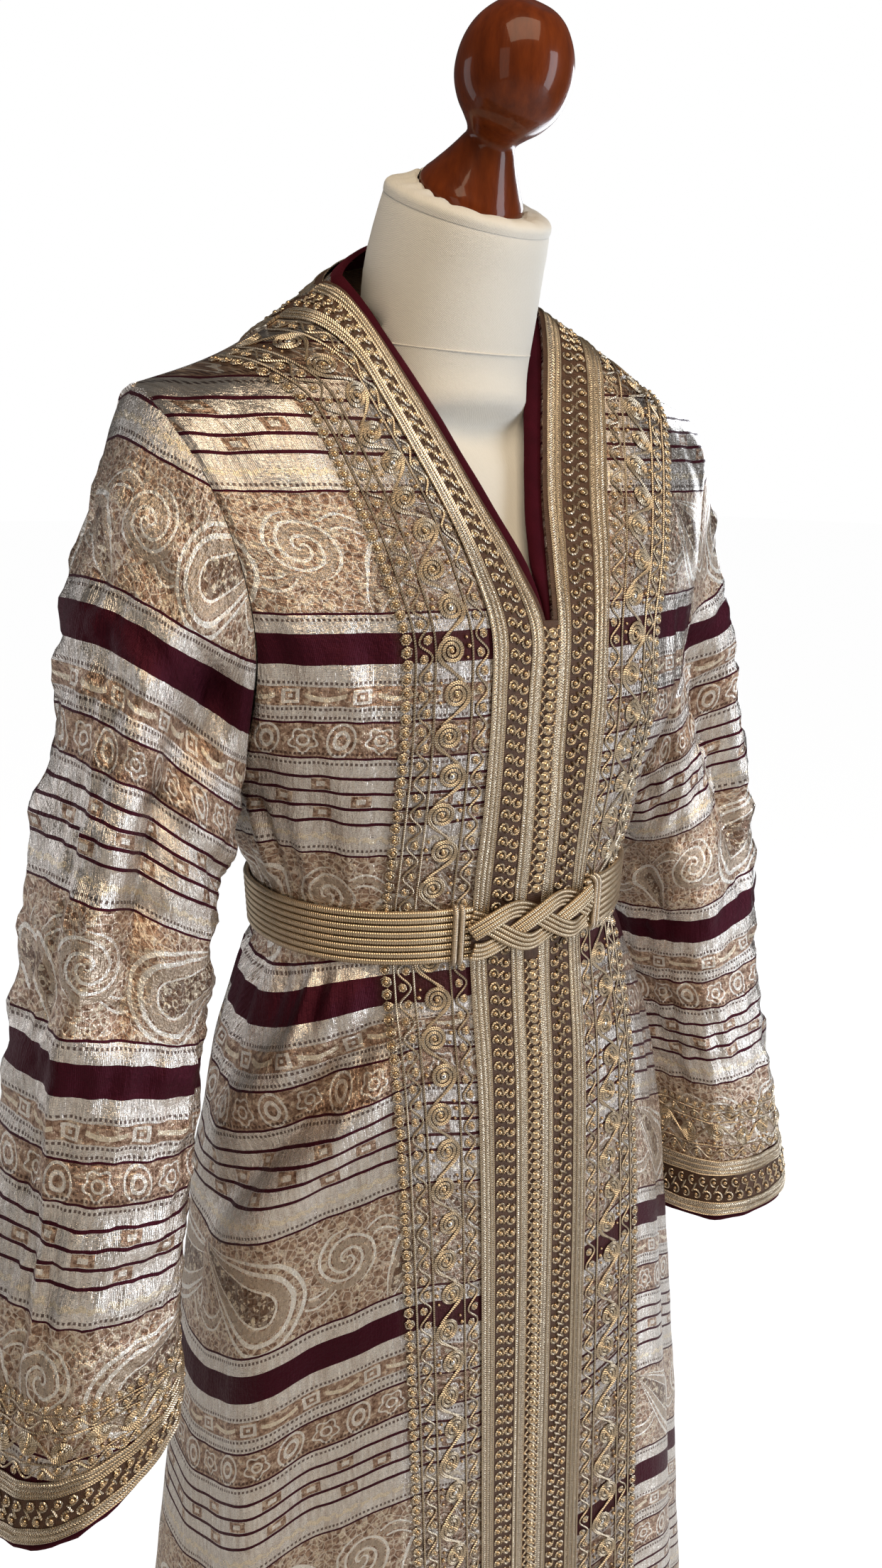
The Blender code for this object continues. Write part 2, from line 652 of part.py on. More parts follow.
def front_belt_point(x, z):
    """Point and normal at signed x on the straight drop between the belt's edges."""
    share = min(max((z - BELT_LOW_Z) / (BELT_HIGH_Z - BELT_LOW_Z), 0.0), 1.0)
    low, high = skirt_row(BELT_LOW_Z, False), skirt_row(BELT_HIGH_Z, False)

    def depth(at):
        return ((1.0 - share) * np.interp(at, low[:, 0], low[:, 1])
                + share * np.interp(at, high[:, 0], high[:, 1]))

    y = depth(abs(x))
    slope = (depth(abs(x) + 0.002) - y) / 0.002
    normal = unit(np.array([math.copysign(slope, x) if x else 0.0, -1.0, 0.0]))
    return np.array([x, y, z]), normal


def knot(gold):
    """Three-strand plait as a wall with raised strands over a plain back."""
    columns, rows = 35, 11
    middle = (BELT_LOW_Z + BELT_HIGH_Z) / 2
    outer, inner = np.zeros((rows, columns, 3)), np.zeros((rows, columns, 3))
    rise = GAP + TRIM + GAP + 0.0012
    for j, x in enumerate(np.linspace(-KNOT_HALF_LENGTH + 0.001, KNOT_HALF_LENGTH - 0.001, columns)):
        phase = 2.0 * math.pi * x / 0.066
        for i, t in enumerate(np.linspace(-0.0205, 0.0205, rows)):
            point, normal = front_belt_point(x, middle + t)
            height = 0.0030
            for strand in range(3):
                own = phase + strand * 2.0 * math.pi / 3.0
                offset = t - 0.0135 * math.sin(own)
                lift = 0.0055 + 0.0022 * math.sin(2.0 * own)
                if abs(offset) < 0.0070:
                    height = max(height, lift * math.sqrt(1.0 - (offset / 0.0070) ** 2) + 0.0012)
            inner[i, j] = point + normal * rise
            outer[i, j] = point + normal * (rise + height)
    paint(wall("belt_knot", outer, inner), gold, 0.35, 0.5)


def keeper(name, sign, gold):
    """A pair of wrapped cords standing over the end of the strap."""
    rise = GAP + BELT_THICKNESS + GAP
    outer, inner = [], []
    for t in np.linspace(BELT_LOW_Z - 0.0015, BELT_HIGH_Z + 0.0015, 5):
        row_out, row_in = [], []
        for s in np.linspace(-0.5, 0.5, 7):
            x = sign * (KEEPER_STATION + s * KEEPER_WIDTH)
            point, normal = front_belt_point(x, t)
            lump = 0.0012 + 0.0026 * abs(math.sin(2.0 * math.pi * (s + 0.5)))
            row_in.append(point + normal * (rise + 0.0006))
            row_out.append(point + normal * (rise + 0.0006 + lump))
        outer.append(row_out)
        inner.append(row_in)
    paint(wall(name, outer, inner), gold, 0.35, 0.5)


def tilted_up(tilt):
    """Unit vector that leans forward by the tilt."""
    return np.array([0.0, -math.sin(tilt), math.cos(tilt)])


def neck_axis(distance):
    """Point on the neck's leaning axis above its rim."""
    return np.array([0.0, NECK_TOP[1] - distance * math.sin(NECK_TILT),
                     NECK_TOP[2] + distance * math.cos(NECK_TILT)])


def form_ring(z, count=30):
    """Horizontal section of the dress form at height z, by direction from its axis."""
    lean = max((z - 1.430) / (NECK_TOP[2] - 1.430), 0.0)
    centre = 0.006 + (NECK_TOP[1] - 0.006) * lean
    radius = 0.0615 + 0.11 * max(1.480 - z, 0.0) ** 1.3
    reach = torso_reach(z)
    points = []
    for a in np.linspace(0.0, 2.0 * math.pi, count, endpoint=False):
        c, s = math.cos(a), math.sin(a)
        if z <= FORM_SECTIONS[-1, 0]:
            half, ahead, behind = [float(cubic(z, FORM_SECTIONS[:, 0], FORM_SECTIONS[:, k]))
                                   for k in (1, 2, 3)]
            x = half * math.copysign(abs(c) ** 0.92, c)
            y = (behind if s > 0 else ahead) * math.copysign(abs(s) ** 0.92, s)
            points.append((x, y, z))
            continue
        run = np.linspace(radius if z > 1.40 else 0.03, 0.26, 500)
        x, y = run * c, centre + run * s
        front, back = form_face(np.abs(x), z, False), form_face(np.abs(x), z, True)
        inside = (np.abs(x) < reach) & (y > front) & (y < back)
        last = run[int(np.argmin(inside))] if inside[0] else run[0]
        points.append((last * c, centre + last * s, z))
    return np.array(points)


def form_face(x, z, back):
    """Depth position of the form behind the cloth at x and height z."""
    ridge = chest_y(x, shoulder_z(x, back), back)
    cloth_y = chest_y(x, np.full(x.shape, z + FORM_DROP), back)
    depth = FORM_INSET + 0.13 * max(z - 1.385, 0.0)
    if back:
        return np.maximum(cloth_y - depth, ridge - 0.002)
    return np.minimum(cloth_y + depth, ridge + 0.002)


def torso_reach(z):
    """Half width of the form's shoulders at height z."""
    xs = np.linspace(NECK_POINT[0], SHOULDER_TIP[0] - 0.008, 60)
    tops = shoulder_z(xs, False) - FORM_DROP - 0.008 * (1.0 - seam_share(xs))
    limit = float(np.interp(z, tops[::-1], xs[::-1], left=xs[-1], right=0.0))
    half = float(cubic(z, ARMHOLE_HEIGHTS, ARMHOLE[:, 1])) - 0.010
    return min(limit, half) if z < tops[0] - 0.018 else 0.0


ARMHOLE_HEIGHTS = UNDERARM_Z + ARMHOLE[:, 0] * (1.4135 - UNDERARM_Z)


def form():
    """Torso and neck of the dress form, its finial and its stand."""
    heights = (0.790, 0.860, 0.930, 1.000, 1.057, 1.120, 1.180, 1.240, 1.290, 1.330,
               1.365, 1.392, 1.412, 1.427, 1.438, 1.450, 1.466)
    rings = [form_ring(z) for z in heights]
    low = rings[0].copy()
    low = low * [0.86, 0.86, 1.0] - [0.0, 0.0, 0.012]
    rings.insert(0, low)
    count = len(rings[0])
    angle = np.linspace(0.0, 2.0 * math.pi, count, endpoint=False)
    for distance, tilt, radius in ((-0.038, 0.45 * NECK_TILT, 0.0605),
                                   (-0.018, 0.80 * NECK_TILT, 0.0585),
                                   (-0.003, NECK_TILT, NECK_RADIUS),
                                   (0.0015, NECK_TILT, 0.0530),
                                   (0.0010, FINIAL_TILT, 0.0430)):
        centre = neck_axis(distance)
        across = np.outer(np.cos(angle), [1.0, 0.0, 0.0])
        ahead = np.outer(np.sin(angle), [0.0, math.cos(tilt), math.sin(tilt)])
        rings.append(centre + radius * (across + ahead * 1.04))
    paint(solid_from_rings("form_body", rings), (0.78, 0.76, 0.71), 0.8)
    finial = turned("form_finial", FINIAL_PROFILE)
    finial.location = tuple(neck_axis(0.0010) - FINIAL_SEAT * tilted_up(FINIAL_TILT))
    finial.rotation_euler = (FINIAL_TILT, 0.0, 0.0)
    pole = turned("form_pole", ((0.7775, 0.0), (0.7775, POLE_RADIUS),
                                (POLE_FOOT_Z, POLE_RADIUS), (POLE_FOOT_Z, 0.0)))
    base = turned("form_base", BASE_PROFILE, steps=36)
    for obj in (finial, pole, base):
        paint(obj, (0.09, 0.018, 0.010), 0.25)


def main():
    """Clear the file and build every solid."""
    for obj in list(bpy.data.objects):
        bpy.data.objects.remove(obj)
    bpy.context.scene.collection.children.link(bpy.data.collections.new(COLLECTION_NAME))
    bpy.context.scene.unit_settings.system = "METRIC"
    bpy.context.scene.unit_settings.scale_length = 1.0
    cloth = Cloth()
    panels(cloth)
    placket_trims(cloth)
    neck_facing(cloth)
    button_strip(cloth)
    cuff_trims(cloth)
    belt(cloth)
    form()


main()
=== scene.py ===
"""Looks of the Moroccan kaftan on its dress form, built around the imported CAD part.

Metres, +Z up.  The front of the garment faces -Y and the wearer's right is -X.
Cloth is worked out as grids of points: rows run from the hem to the shoulder and
columns across the cloth.  Trims and embroidery are drawn in the flat, as distance
from an edge and distance along it, and then laid on those grids.
"""
from __future__ import annotations

import json
import logging
import math
from dataclasses import dataclass, field
from enum import Enum
from typing import Callable, Iterable, Sequence

import bpy
import numpy as np
from mathutils import Matrix

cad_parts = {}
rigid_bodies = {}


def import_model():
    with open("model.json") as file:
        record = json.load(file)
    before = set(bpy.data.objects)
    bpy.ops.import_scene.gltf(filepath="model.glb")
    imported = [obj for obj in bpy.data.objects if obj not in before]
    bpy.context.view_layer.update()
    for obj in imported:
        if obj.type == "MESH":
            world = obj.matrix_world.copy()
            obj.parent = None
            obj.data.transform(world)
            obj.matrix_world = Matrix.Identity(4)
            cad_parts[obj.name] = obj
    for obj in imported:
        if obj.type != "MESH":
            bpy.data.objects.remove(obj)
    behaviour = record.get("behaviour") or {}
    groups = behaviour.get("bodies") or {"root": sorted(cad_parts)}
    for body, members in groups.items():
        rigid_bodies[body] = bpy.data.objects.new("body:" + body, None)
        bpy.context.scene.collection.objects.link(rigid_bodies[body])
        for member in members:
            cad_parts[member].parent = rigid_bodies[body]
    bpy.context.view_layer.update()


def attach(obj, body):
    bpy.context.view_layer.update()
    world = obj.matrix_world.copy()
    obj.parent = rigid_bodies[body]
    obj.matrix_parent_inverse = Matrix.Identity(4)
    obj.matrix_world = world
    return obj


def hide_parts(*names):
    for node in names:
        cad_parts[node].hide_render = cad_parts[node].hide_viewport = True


LOG = logging.getLogger("kaftan")
Array = np.ndarray
Locate = Callable[[Array, Array], tuple[Array, Array]]

# Heights of the garment
HEM_Z = 0.030
BELT_LOW_Z = 1.037
BELT_HIGH_Z = 1.077
UNDERARM_Z = 1.145
V_POINT_Z = 1.266

# Neck point and shoulder tip of the shoulder seam: x, y, z
NECK_POINT = (0.084, 0.012, 1.487)
SHOULDER_TIP = (0.231, 0.000, 1.4135)
SHOULDER_SAG = 0.010
SHOULDER_ROUND = 0.052
BACK_NECK_Y = 0.072
BACK_NECK_Z = 1.516
OPENING_POWER = 1.25

# Cloth thicknesses and clearances
CLOTH = 0.0020
TRIM = 0.0014
GAP = 0.0004

# Distances of the trims from the centre edge
CENTRE_GAP = 0.0030
BRAID_START = 0.0072
LOOPS_START = 0.0168
LOOPS_END = 0.0382
TRIM_WIDTH = 0.0492

# Horizontal sections: z, half_width, front_edge, front_side, back, exponent
SECTIONS = np.array([
    (0.030, 0.290, 0.150, 0.200, 0.235, 2.10),
    (0.300, 0.262, 0.143, 0.182, 0.210, 2.10),
    (0.600, 0.230, 0.136, 0.162, 0.182, 2.15),
    (0.800, 0.205, 0.132, 0.148, 0.160, 2.20),
    (0.940, 0.182, 0.126, 0.136, 0.136, 2.20),
    (1.010, 0.158, 0.119, 0.122, 0.114, 2.20),
    (1.057, 0.144, 0.117, 0.117, 0.102, 2.20),
    (1.095, 0.157, 0.121, 0.124, 0.112, 2.20),
    (1.145, 0.172, 0.124, 0.130, 0.118, 2.20),
    (1.200, 0.198, 0.125, 0.134, 0.120, 2.25),
    (1.266, 0.216, 0.127, 0.132, 0.118, 2.30),
    (1.340, 0.232, 0.087, 0.114, 0.112, 2.40),
    (1.400, 0.245, 0.055, 0.086, 0.104, 2.50),
    (1.450, 0.250, 0.028, 0.062, 0.094, 2.50),
    (1.510, 0.250, 0.006, 0.046, 0.080, 2.50),
])
EDGE_BLEND = 0.075

# Armhole seam: share of the height from underarm to shoulder, x
ARMHOLE = np.array([
    (0.00, 0.172), (0.10, 0.182), (0.22, 0.186), (0.36, 0.187),
    (0.55, 0.194), (0.75, 0.208), (0.90, 0.223), (1.00, 0.231),
])

# Sleeve rings: share, centre_x, centre_y, centre_z, half_width, front, back, outer_drop
SLEEVE_RINGS = np.array([
    (0.15, 0.221, 0.004, 1.210, 0.042, 0.062, 0.066, -2.40),
    (0.30, 0.240, 0.002, 1.135, 0.045, 0.060, 0.062, -1.60),
    (0.45, 0.258, -0.003, 1.048, 0.051, 0.061, 0.060, -0.94),
    (0.65, 0.282, -0.009, 0.915, 0.059, 0.063, 0.062, -0.36),
    (0.85, 0.304, -0.015, 0.790, 0.066, 0.070, 0.066, 0.04),
    (1.00, 0.316, -0.019, 0.708, 0.071, 0.076, 0.070, 0.18),
])
SLEEVE_EXPONENT = 2.2

# Skirt folds that the solids have too
FOLD_DEPTH = 0.013
FOLD_COUNT = 10.0

# Key rows of the cloth grids
SKIRT_ROWS = (0.030, 0.200, 0.380, 0.560, 0.720, 0.850, 0.950, 1.005,
              BELT_LOW_Z, BELT_HIGH_Z, 1.108)
CHEST_ROWS = (0.0, 0.11, 0.23, 0.3538, 0.47, 0.59, 0.71, 0.80, 0.87, 0.93, 0.975, 1.0)


class Side(Enum):
    """The wearer's sides, with the sign of x."""

    RIGHT = -1
    LEFT = 1

    @property
    def word(self) -> str:
        """The side's name as the solids spell it."""
        return self.name.lower()


class Slot(Enum):
    """The record's material slots."""

    BROCADE = "brocade"
    TRIM = "gold_trim"
    BELT = "belt_cord"
    VELVET = "velvet"
    JERSEY = "form_jersey"
    WOOD = "mahogany"


def cubic(x: Array, knots: Array, values: Array) -> Array:
    """Smooth cubic through knots, by Hermite's formula with central slopes.

    Args:
        x: where to read it, of any shape, or one row if values has more axes.
        knots: rising places of the values.
        values: values at the knots, along their first axis.

    Returns:
        The values at x.
    """
    x = np.clip(np.asarray(x, float), knots[0], knots[-1])
    slope = np.gradient(values, knots, axis=0)
    i = np.clip(np.searchsorted(knots, x, side="right") - 1, 0, len(knots) - 2)
    step = knots[i + 1] - knots[i]
    t = (x - knots[i]) / step
    if values.ndim > 1:
        spread = (slice(None),) + (None,) * (values.ndim - 1)
        step, t = step[spread], t[spread]
    return ((1 + 2 * t) * (1 - t) ** 2 * values[i] + t * (1 - t) ** 2 * step * slope[i]
            + t * t * (3 - 2 * t) * values[i + 1] + t * t * (t - 1) * step * slope[i + 1])


def smooth_step(t: Array) -> Array:
    """Zero to one with level ends: 3t² - 2t³ between 0 and 1."""
    t = np.clip(t, 0.0, 1.0)
    return t * t * (3.0 - 2.0 * t)


def bump(x: Array, centre: float, width: float) -> Array:
    """A bell, exp(-((x - centre) / width)²)."""
    return np.exp(-((np.asarray(x, float) - centre) / width) ** 2)


def unit(vectors: Array) -> Array:
    """Vectors scaled to length one."""
    return vectors / np.maximum(np.linalg.norm(vectors, axis=-1, keepdims=True), 1e-12)


def ripple(a: Array, b: Array, seed: int, count: int = 7) -> Array:
    """Soft irregular waves between about -1 and 1, a sum of sines in seeded directions.

    Args:
        a: first coordinate, in waves.
        b: second coordinate, in waves.
        seed: which pattern of waves.
        count: how many sines are added.

    Returns:
        The height of the waves.
    """
    rng = np.random.default_rng(seed)
    turn = rng.uniform(0.0, math.tau, count)
    rate = rng.uniform(0.55, 1.7, count)
    phase = rng.uniform(0.0, math.tau, count)
    total = sum(np.sin(math.tau * rate[k] * (a * math.cos(turn[k]) + b * math.sin(turn[k])) + phase[k])
                for k in range(count))
    return total / math.sqrt(count) * 0.8


def section_at(z: Array) -> list[Array]:
    """Half width, edge depth, side depth, back depth and exponent at height z."""
    return [cubic(z, SECTIONS[:, 0], SECTIONS[:, k]) for k in range(1, 6)]


def seam_share(x: Array) -> Array:
    """Share of the way from the neck point to the shoulder tip."""
    return np.clip((x - NECK_POINT[0]) / (SHOULDER_TIP[0] - NECK_POINT[0]), 0.0, 1.0)


def shoulder_z(x: Array, back: bool) -> Array:
    """Height of the top edge of the cloth above x."""
    share = seam_share(x)
    ridge = (NECK_POINT[2] + (SHOULDER_TIP[2] - NECK_POINT[2]) * share
             - SHOULDER_SAG * np.sin(np.pi * share))
    if back:
        inner = BACK_NECK_Z + (NECK_POINT[2] - BACK_NECK_Z) * (x / NECK_POINT[0]) ** 2
        ridge = np.where(x < NECK_POINT[0], inner, ridge)
    return ridge


def opening_x(z: Array) -> Array:
    """Half width of the neck opening at height z."""
    share = np.clip((z - V_POINT_Z) / (NECK_POINT[2] - V_POINT_Z), 0.0, 1.0)
    return NECK_POINT[0] * share ** OPENING_POWER


def chest_y(x: Array, z: Array, back: bool) -> Array:
    """Depth position of the cloth above the underarm, a superellipse that turns in at the shoulder."""
    half, edge, side, rear, power = section_at(z)
    blend = edge + (side - edge) * smooth_step((x - opening_x(z)) / EDGE_BLEND)
    depth = rear if back else blend
    y = depth * np.maximum(1.0 - np.minimum(np.abs(x) / half, 1.0) ** power, 0.0) ** (1.0 / power)
    top = NECK_POINT[1] + (SHOULDER_TIP[1] - NECK_POINT[1]) * seam_share(x)
    if back:
        inner = BACK_NECK_Y + (NECK_POINT[1] - BACK_NECK_Y) * (x / NECK_POINT[0]) ** 2
        top = np.where(x < NECK_POINT[0], inner, top)
    near_top = np.clip((shoulder_z(x, back) - z) / SHOULDER_ROUND, 0.0, 1.0)
    turn = np.sqrt(np.maximum(1.0 - (1.0 - near_top) ** 2, 0.0))
    return top + ((y if back else -y) - top) * turn


def ridge_blend(points: Array, normals: Array, seam: float = 0.014) -> Array:
    """Turn normals towards the shoulder seam's own as they come to it.

    Args:
        points: points of the cloth.
        normals: their normals.
        seam: distance below the seam at which the turn starts.

    Returns:
        Unit normals, the same on the front and the back where they meet.
    """
    along = np.array([SHOULDER_TIP[0] - NECK_POINT[0], 0.0, SHOULDER_TIP[2] - NECK_POINT[2]])
    x = np.abs(points[..., 0])
    ridge = unit(np.stack(np.broadcast_arrays(-along[2] * np.sign(points[..., 0]), 0.0, along[0]), -1))
    near = 1.0 - smooth_step((shoulder_z(x, False) - points[..., 2]) / seam)
    near = near * smooth_step((x - NECK_POINT[0] + 0.006) / 0.006)
    return unit(normals * (1.0 - near[..., None]) + ridge * near[..., None])


def skirt_row(z: float, back: bool, count: int = 241) -> Array:
    """Half section from the centre to the side at height z below the underarm."""
    half, edge, side, rear, power = section_at(np.full(count, float(z)))
    angle = np.linspace(0.0, math.pi / 2, count)
    x = half * np.sin(angle) ** (2.0 / power)
    depth = rear if back else edge + (side - edge) * smooth_step(x / (2.0 * EDGE_BLEND))
    y = depth * np.cos(angle) ** (2.0 / power)
    girth = angle if not back else math.pi - angle
    reach = np.clip((BELT_LOW_Z - z) / (BELT_LOW_Z - HEM_Z), 0.0, 1.0) ** 0.8
    window = smooth_step((girth - 0.62) / 0.35)
    push = FOLD_DEPTH * reach * window * np.cos(FOLD_COUNT * girth + 1.1)
    norm = np.hypot(x / half ** 2, y / depth ** 2)
    x = x + push * (x / half ** 2) / norm
    y = y + push * (y / depth ** 2) / norm
    return np.stack([x, y if back else -y, np.full(count, float(z))], axis=1)


def chest_row(share: float, back: bool, count: int = 241) -> Array:
    """Half row from the opening or the centre back to the armhole."""
    out = float(cubic(share, ARMHOLE[:, 0], ARMHOLE[:, 1]))
    start = 0.0
    v_share = (V_POINT_Z - UNDERARM_Z) / (NECK_POINT[2] - UNDERARM_Z)
    if not back and share > v_share:
        start = NECK_POINT[0] * ((share - v_share) / (1.0 - v_share)) ** OPENING_POWER
    x = start + (out - start) * np.sin(np.linspace(0.0, math.pi / 2, count))
    z = UNDERARM_Z + (shoulder_z(x, back) - UNDERARM_Z) * share
    return np.stack([x, chest_y(x, z, back), z], axis=1)


def run_along(points: Array) -> Array:
    """Distance from the first point of a polyline to each of its points."""
    return np.r_[0.0, np.cumsum(np.linalg.norm(np.diff(points, axis=0), axis=1))]


def at_lengths(points: Array, lengths: Array) -> Array:
    """Points at the given distances along a polyline."""
    run = run_along(points)
    return np.stack([np.interp(lengths, run, points[:, k]) for k in range(3)], axis=1)


def grid_normals(grid: Array, closed: bool = False) -> Array:
    """Unit normals of a grid, the cross product of its two directions.

    Args:
        grid: rows by columns of points.
        closed: whether the last column meets the first.

    Returns:
        Unit vectors of the same shape.
    """
    along = np.gradient(grid, axis=0)
    across = np.roll(grid, -1, 1) - np.roll(grid, 1, 1) if closed else np.gradient(grid, axis=1)
    return unit(np.cross(across, along))


@dataclass
class Finishing:
    """What a mesh needs besides its points: faces, their corners' flat places and materials."""

    faces: list[Array] = field(default_factory=list)
    corners: list[Array] = field(default_factory=list)
    slots: list[Array] = field(default_factory=list)

    def add(self, faces: Array, corners: Array, slot: int | Array = 0) -> None:
        """Add faces of one size.

        Args:
            faces: faces by corners, indices of points.
            corners: faces by corners by two, the flat place of each corner.
            slot: material index, one number or one for each face.
        """
        self.faces.append(faces)
        self.corners.append(corners)
        self.slots.append(np.broadcast_to(np.asarray(slot), len(faces)))


def put_mesh(name: str, points: Array, finishing: Finishing, materials: Sequence[bpy.types.Material],
             sharp_deg: float = 50.0) -> bpy.types.Object:
    """Put numpy arrays into a new mesh object, smooth apart from its sharp edges.

    Args:
        name: the piece's name.
        points: its points in the row frame.
        finishing: its faces.
        materials: its materials, in slot order.
        sharp_deg: edges that turn by more than this stay sharp.

    Returns:
        The object, linked to the scene.
    """
    mesh = bpy.data.meshes.new(name)
    mesh.vertices.add(len(points))
    mesh.vertices.foreach_set("co", np.ascontiguousarray(points, np.float32).ravel())
    sizes = np.concatenate([np.full(len(f), f.shape[1]) for f in finishing.faces])
    loops = np.concatenate([f.ravel() for f in finishing.faces])
    mesh.loops.add(len(loops))
    mesh.loops.foreach_set("vertex_index", loops.astype(np.int32))
    mesh.polygons.add(len(sizes))
    mesh.polygons.foreach_set("loop_start", np.r_[0, np.cumsum(sizes)[:-1]].astype(np.int32))
    mesh.polygons.foreach_set("material_index", np.concatenate(finishing.slots).astype(np.int32))
    mesh.update(calc_edges=True)
    mesh.validate()
    layer = mesh.uv_layers.new(name="cloth")
    flat = np.concatenate([c.reshape(-1, 2) for c in finishing.corners])
    layer.uv.foreach_set("vector", flat.astype(np.float32).ravel())
    mesh.shade_smooth()
    mesh.set_sharp_from_angle(angle=math.radians(sharp_deg))
    for material in materials:
        mesh.materials.append(material)
    obj = bpy.data.objects.new(name, mesh)
    bpy.context.scene.collection.objects.link(obj)
    return obj


def grid_faces(rows: int, columns: int, closed: bool, flip: bool = False) -> tuple[Array, Array]:
    """Quads of a grid, as points and as places in a grid that has one more column if closed.

    Args:
        rows: rows of points.
        columns: columns of points.
        closed: whether the last column meets the first.
        flip: turn the faces round.

    Returns:
        Two arrays of faces by four: indices of points, and indices of flat places.
    """
    spans = columns if closed else columns - 1
    flat_columns = columns + 1 if closed else columns
    i, j = np.meshgrid(np.arange(rows - 1), np.arange(spans), indexing="ij")
    i, j = i.ravel(), j.ravel()
    k = (j + 1) % columns
    points = np.stack([i * columns + j, i * columns + k, (i + 1) * columns + k, (i + 1) * columns + j], 1)
    places = np.stack([i * flat_columns + j, i * flat_columns + j + 1,
                       (i + 1) * flat_columns + j + 1, (i + 1) * flat_columns + j], 1)
    if flip:
        points, places = points[:, ::-1], places[:, ::-1]
    return points, places


def shell(name: str, outer: Array, inner: Array, flat: Array, materials: Sequence[bpy.types.Material],
          closed: bool = False, outer_slots: Array | int = 0, inner_slot: int = 0) -> bpy.types.Object:
    """One closed wall between two grids of points.

    Args:
        name: the piece's name.
        outer: rows by columns of points of the side that shows.
        inner: the same grid on the other side.
        flat: rows by columns (one more if closed) of flat places in metres.
        materials: the piece's materials.
        closed: whether the columns go all the way round.
        outer_slots: material index of the outer side, one or one for each column span.
        inner_slot: material index of the inner side.

    Returns:
        The object.
    """
    rows, columns = outer.shape[:2]
    normal = np.cross(outer[0, 1] - outer[0, 0], outer[1, 0] - outer[0, 0])
    flip = bool(np.dot(normal, (outer - inner)[0, 0]) < 0)
    count = rows * columns
    points, places = grid_faces(rows, columns, closed, flip)
    flat_points = flat.reshape(-1, 2)
    spans = columns if closed else columns - 1
    slots = np.tile(np.broadcast_to(np.asarray(outer_slots), spans), rows - 1)
    made = Finishing()
    made.add(points, flat_points[places], slots)
    made.add(points[:, ::-1] + count, flat_points[places[:, ::-1]], inner_slot)
    rims = []
    ring = np.arange(spans)
    following = (ring + 1) % columns
    last = (rows - 1) * columns
    rims.append(np.stack([ring, ring + count, following + count, following], 1))
    rims.append(np.stack([last + following, last + following + count, last + ring + count, last + ring], 1))
    if not closed:
        up = np.arange(rows - 1) * columns
        rims.append(np.stack([up + columns, up + columns + count, up + count, up], 1))
        far = up + columns - 1
        rims.append(np.stack([far, far + count, far + columns + count, far + columns], 1))
    flat_columns = flat.shape[1]
    for rim in rims:
        if flip:
            rim = rim[:, ::-1]
        base = rim % count
        place = (base // columns) * flat_columns + base % columns
        made.add(rim, flat_points[place], outer_slots if np.ndim(outer_slots) == 0 else 0)
    both = np.concatenate([outer.reshape(-1, 3), inner.reshape(-1, 3)])
    return put_mesh(name, both, made, materials)


def tubes(paths: Array, normals: Array, radius: float | Array, sides: int, lift: float | Array = 0.0,
          flatten: float = 1.0, closed: bool = False) -> tuple[Array, Finishing]:
    """Round cords along many paths at once.

    Each ring's points are path + radius (cos a · across + flatten sin a · normal).

    Args:
        paths: cords by points by three.
        normals: the cloth's normals there.
        radius: radius of the cords, one or one for each point.
        sides: sides of the cords.
        lift: distance of the cord's middle from the path, along the normal.
        flatten: height over width.
        closed: whether each path comes back to its start.

    Returns:
        Points and faces of all cords; flat places are turns round and metres along.
    """
    number, length = paths.shape[:2]
    step = np.gradient(paths, axis=1)
    if closed:
        step = np.roll(paths, -1, 1) - np.roll(paths, 1, 1)
    tangent = unit(step)
    across = unit(np.cross(tangent, normals))
    up = np.cross(across, tangent)
    size = np.broadcast_to(np.asarray(radius, float), (number, length)).copy()
    if not closed:
        size[:, 0] *= 0.25
        size[:, -1] *= 0.25
    centre = paths + up * np.broadcast_to(np.asarray(lift, float), (number, length))[..., None]
    angle = -math.pi / 2 + math.tau * np.arange(sides) / sides
    ring = (centre[:, :, None] + size[:, :, None, None]
            * (across[:, :, None] * np.cos(angle)[:, None]
               + flatten * up[:, :, None] * np.sin(angle)[:, None]))
    along = np.concatenate([np.zeros((number, 1)),
                            np.cumsum(np.linalg.norm(np.diff(paths, axis=1), axis=2), axis=1)], axis=1)
    spans = length if closed else length - 1
    n, i, j = np.meshgrid(np.arange(number), np.arange(spans), np.arange(sides), indexing="ij")
    n, i, j = n.ravel(), i.ravel(), j.ravel()
    k, m = (j + 1) % sides, (i + 1) % length
    base = n * length * sides
    faces = np.stack([base + i * sides + j, base + i * sides + k,
                      base + m * sides + k, base + m * sides + j], 1)
    step_v = np.where(m > i, along[n, m], along[n, i] + 0.001)
    u0, u1 = j / sides, (j + 1) / sides
    corners = np.stack([np.stack([u0, along[n, i]], 1), np.stack([u1, along[n, i]], 1),
                        np.stack([u1, step_v], 1), np.stack([u0, step_v], 1)], 1)
    made = Finishing()
    made.add(faces, corners)
    if not closed:
        for end, reverse in ((0, True), (length - 1, False)):
            caps = (np.arange(number)[:, None] * length + end) * sides + np.arange(sides)[None]
            caps = caps[:, ::-1] if reverse else caps
            made.add(caps, np.zeros((number, sides, 2)))
    return ring.reshape(-1, 3), made


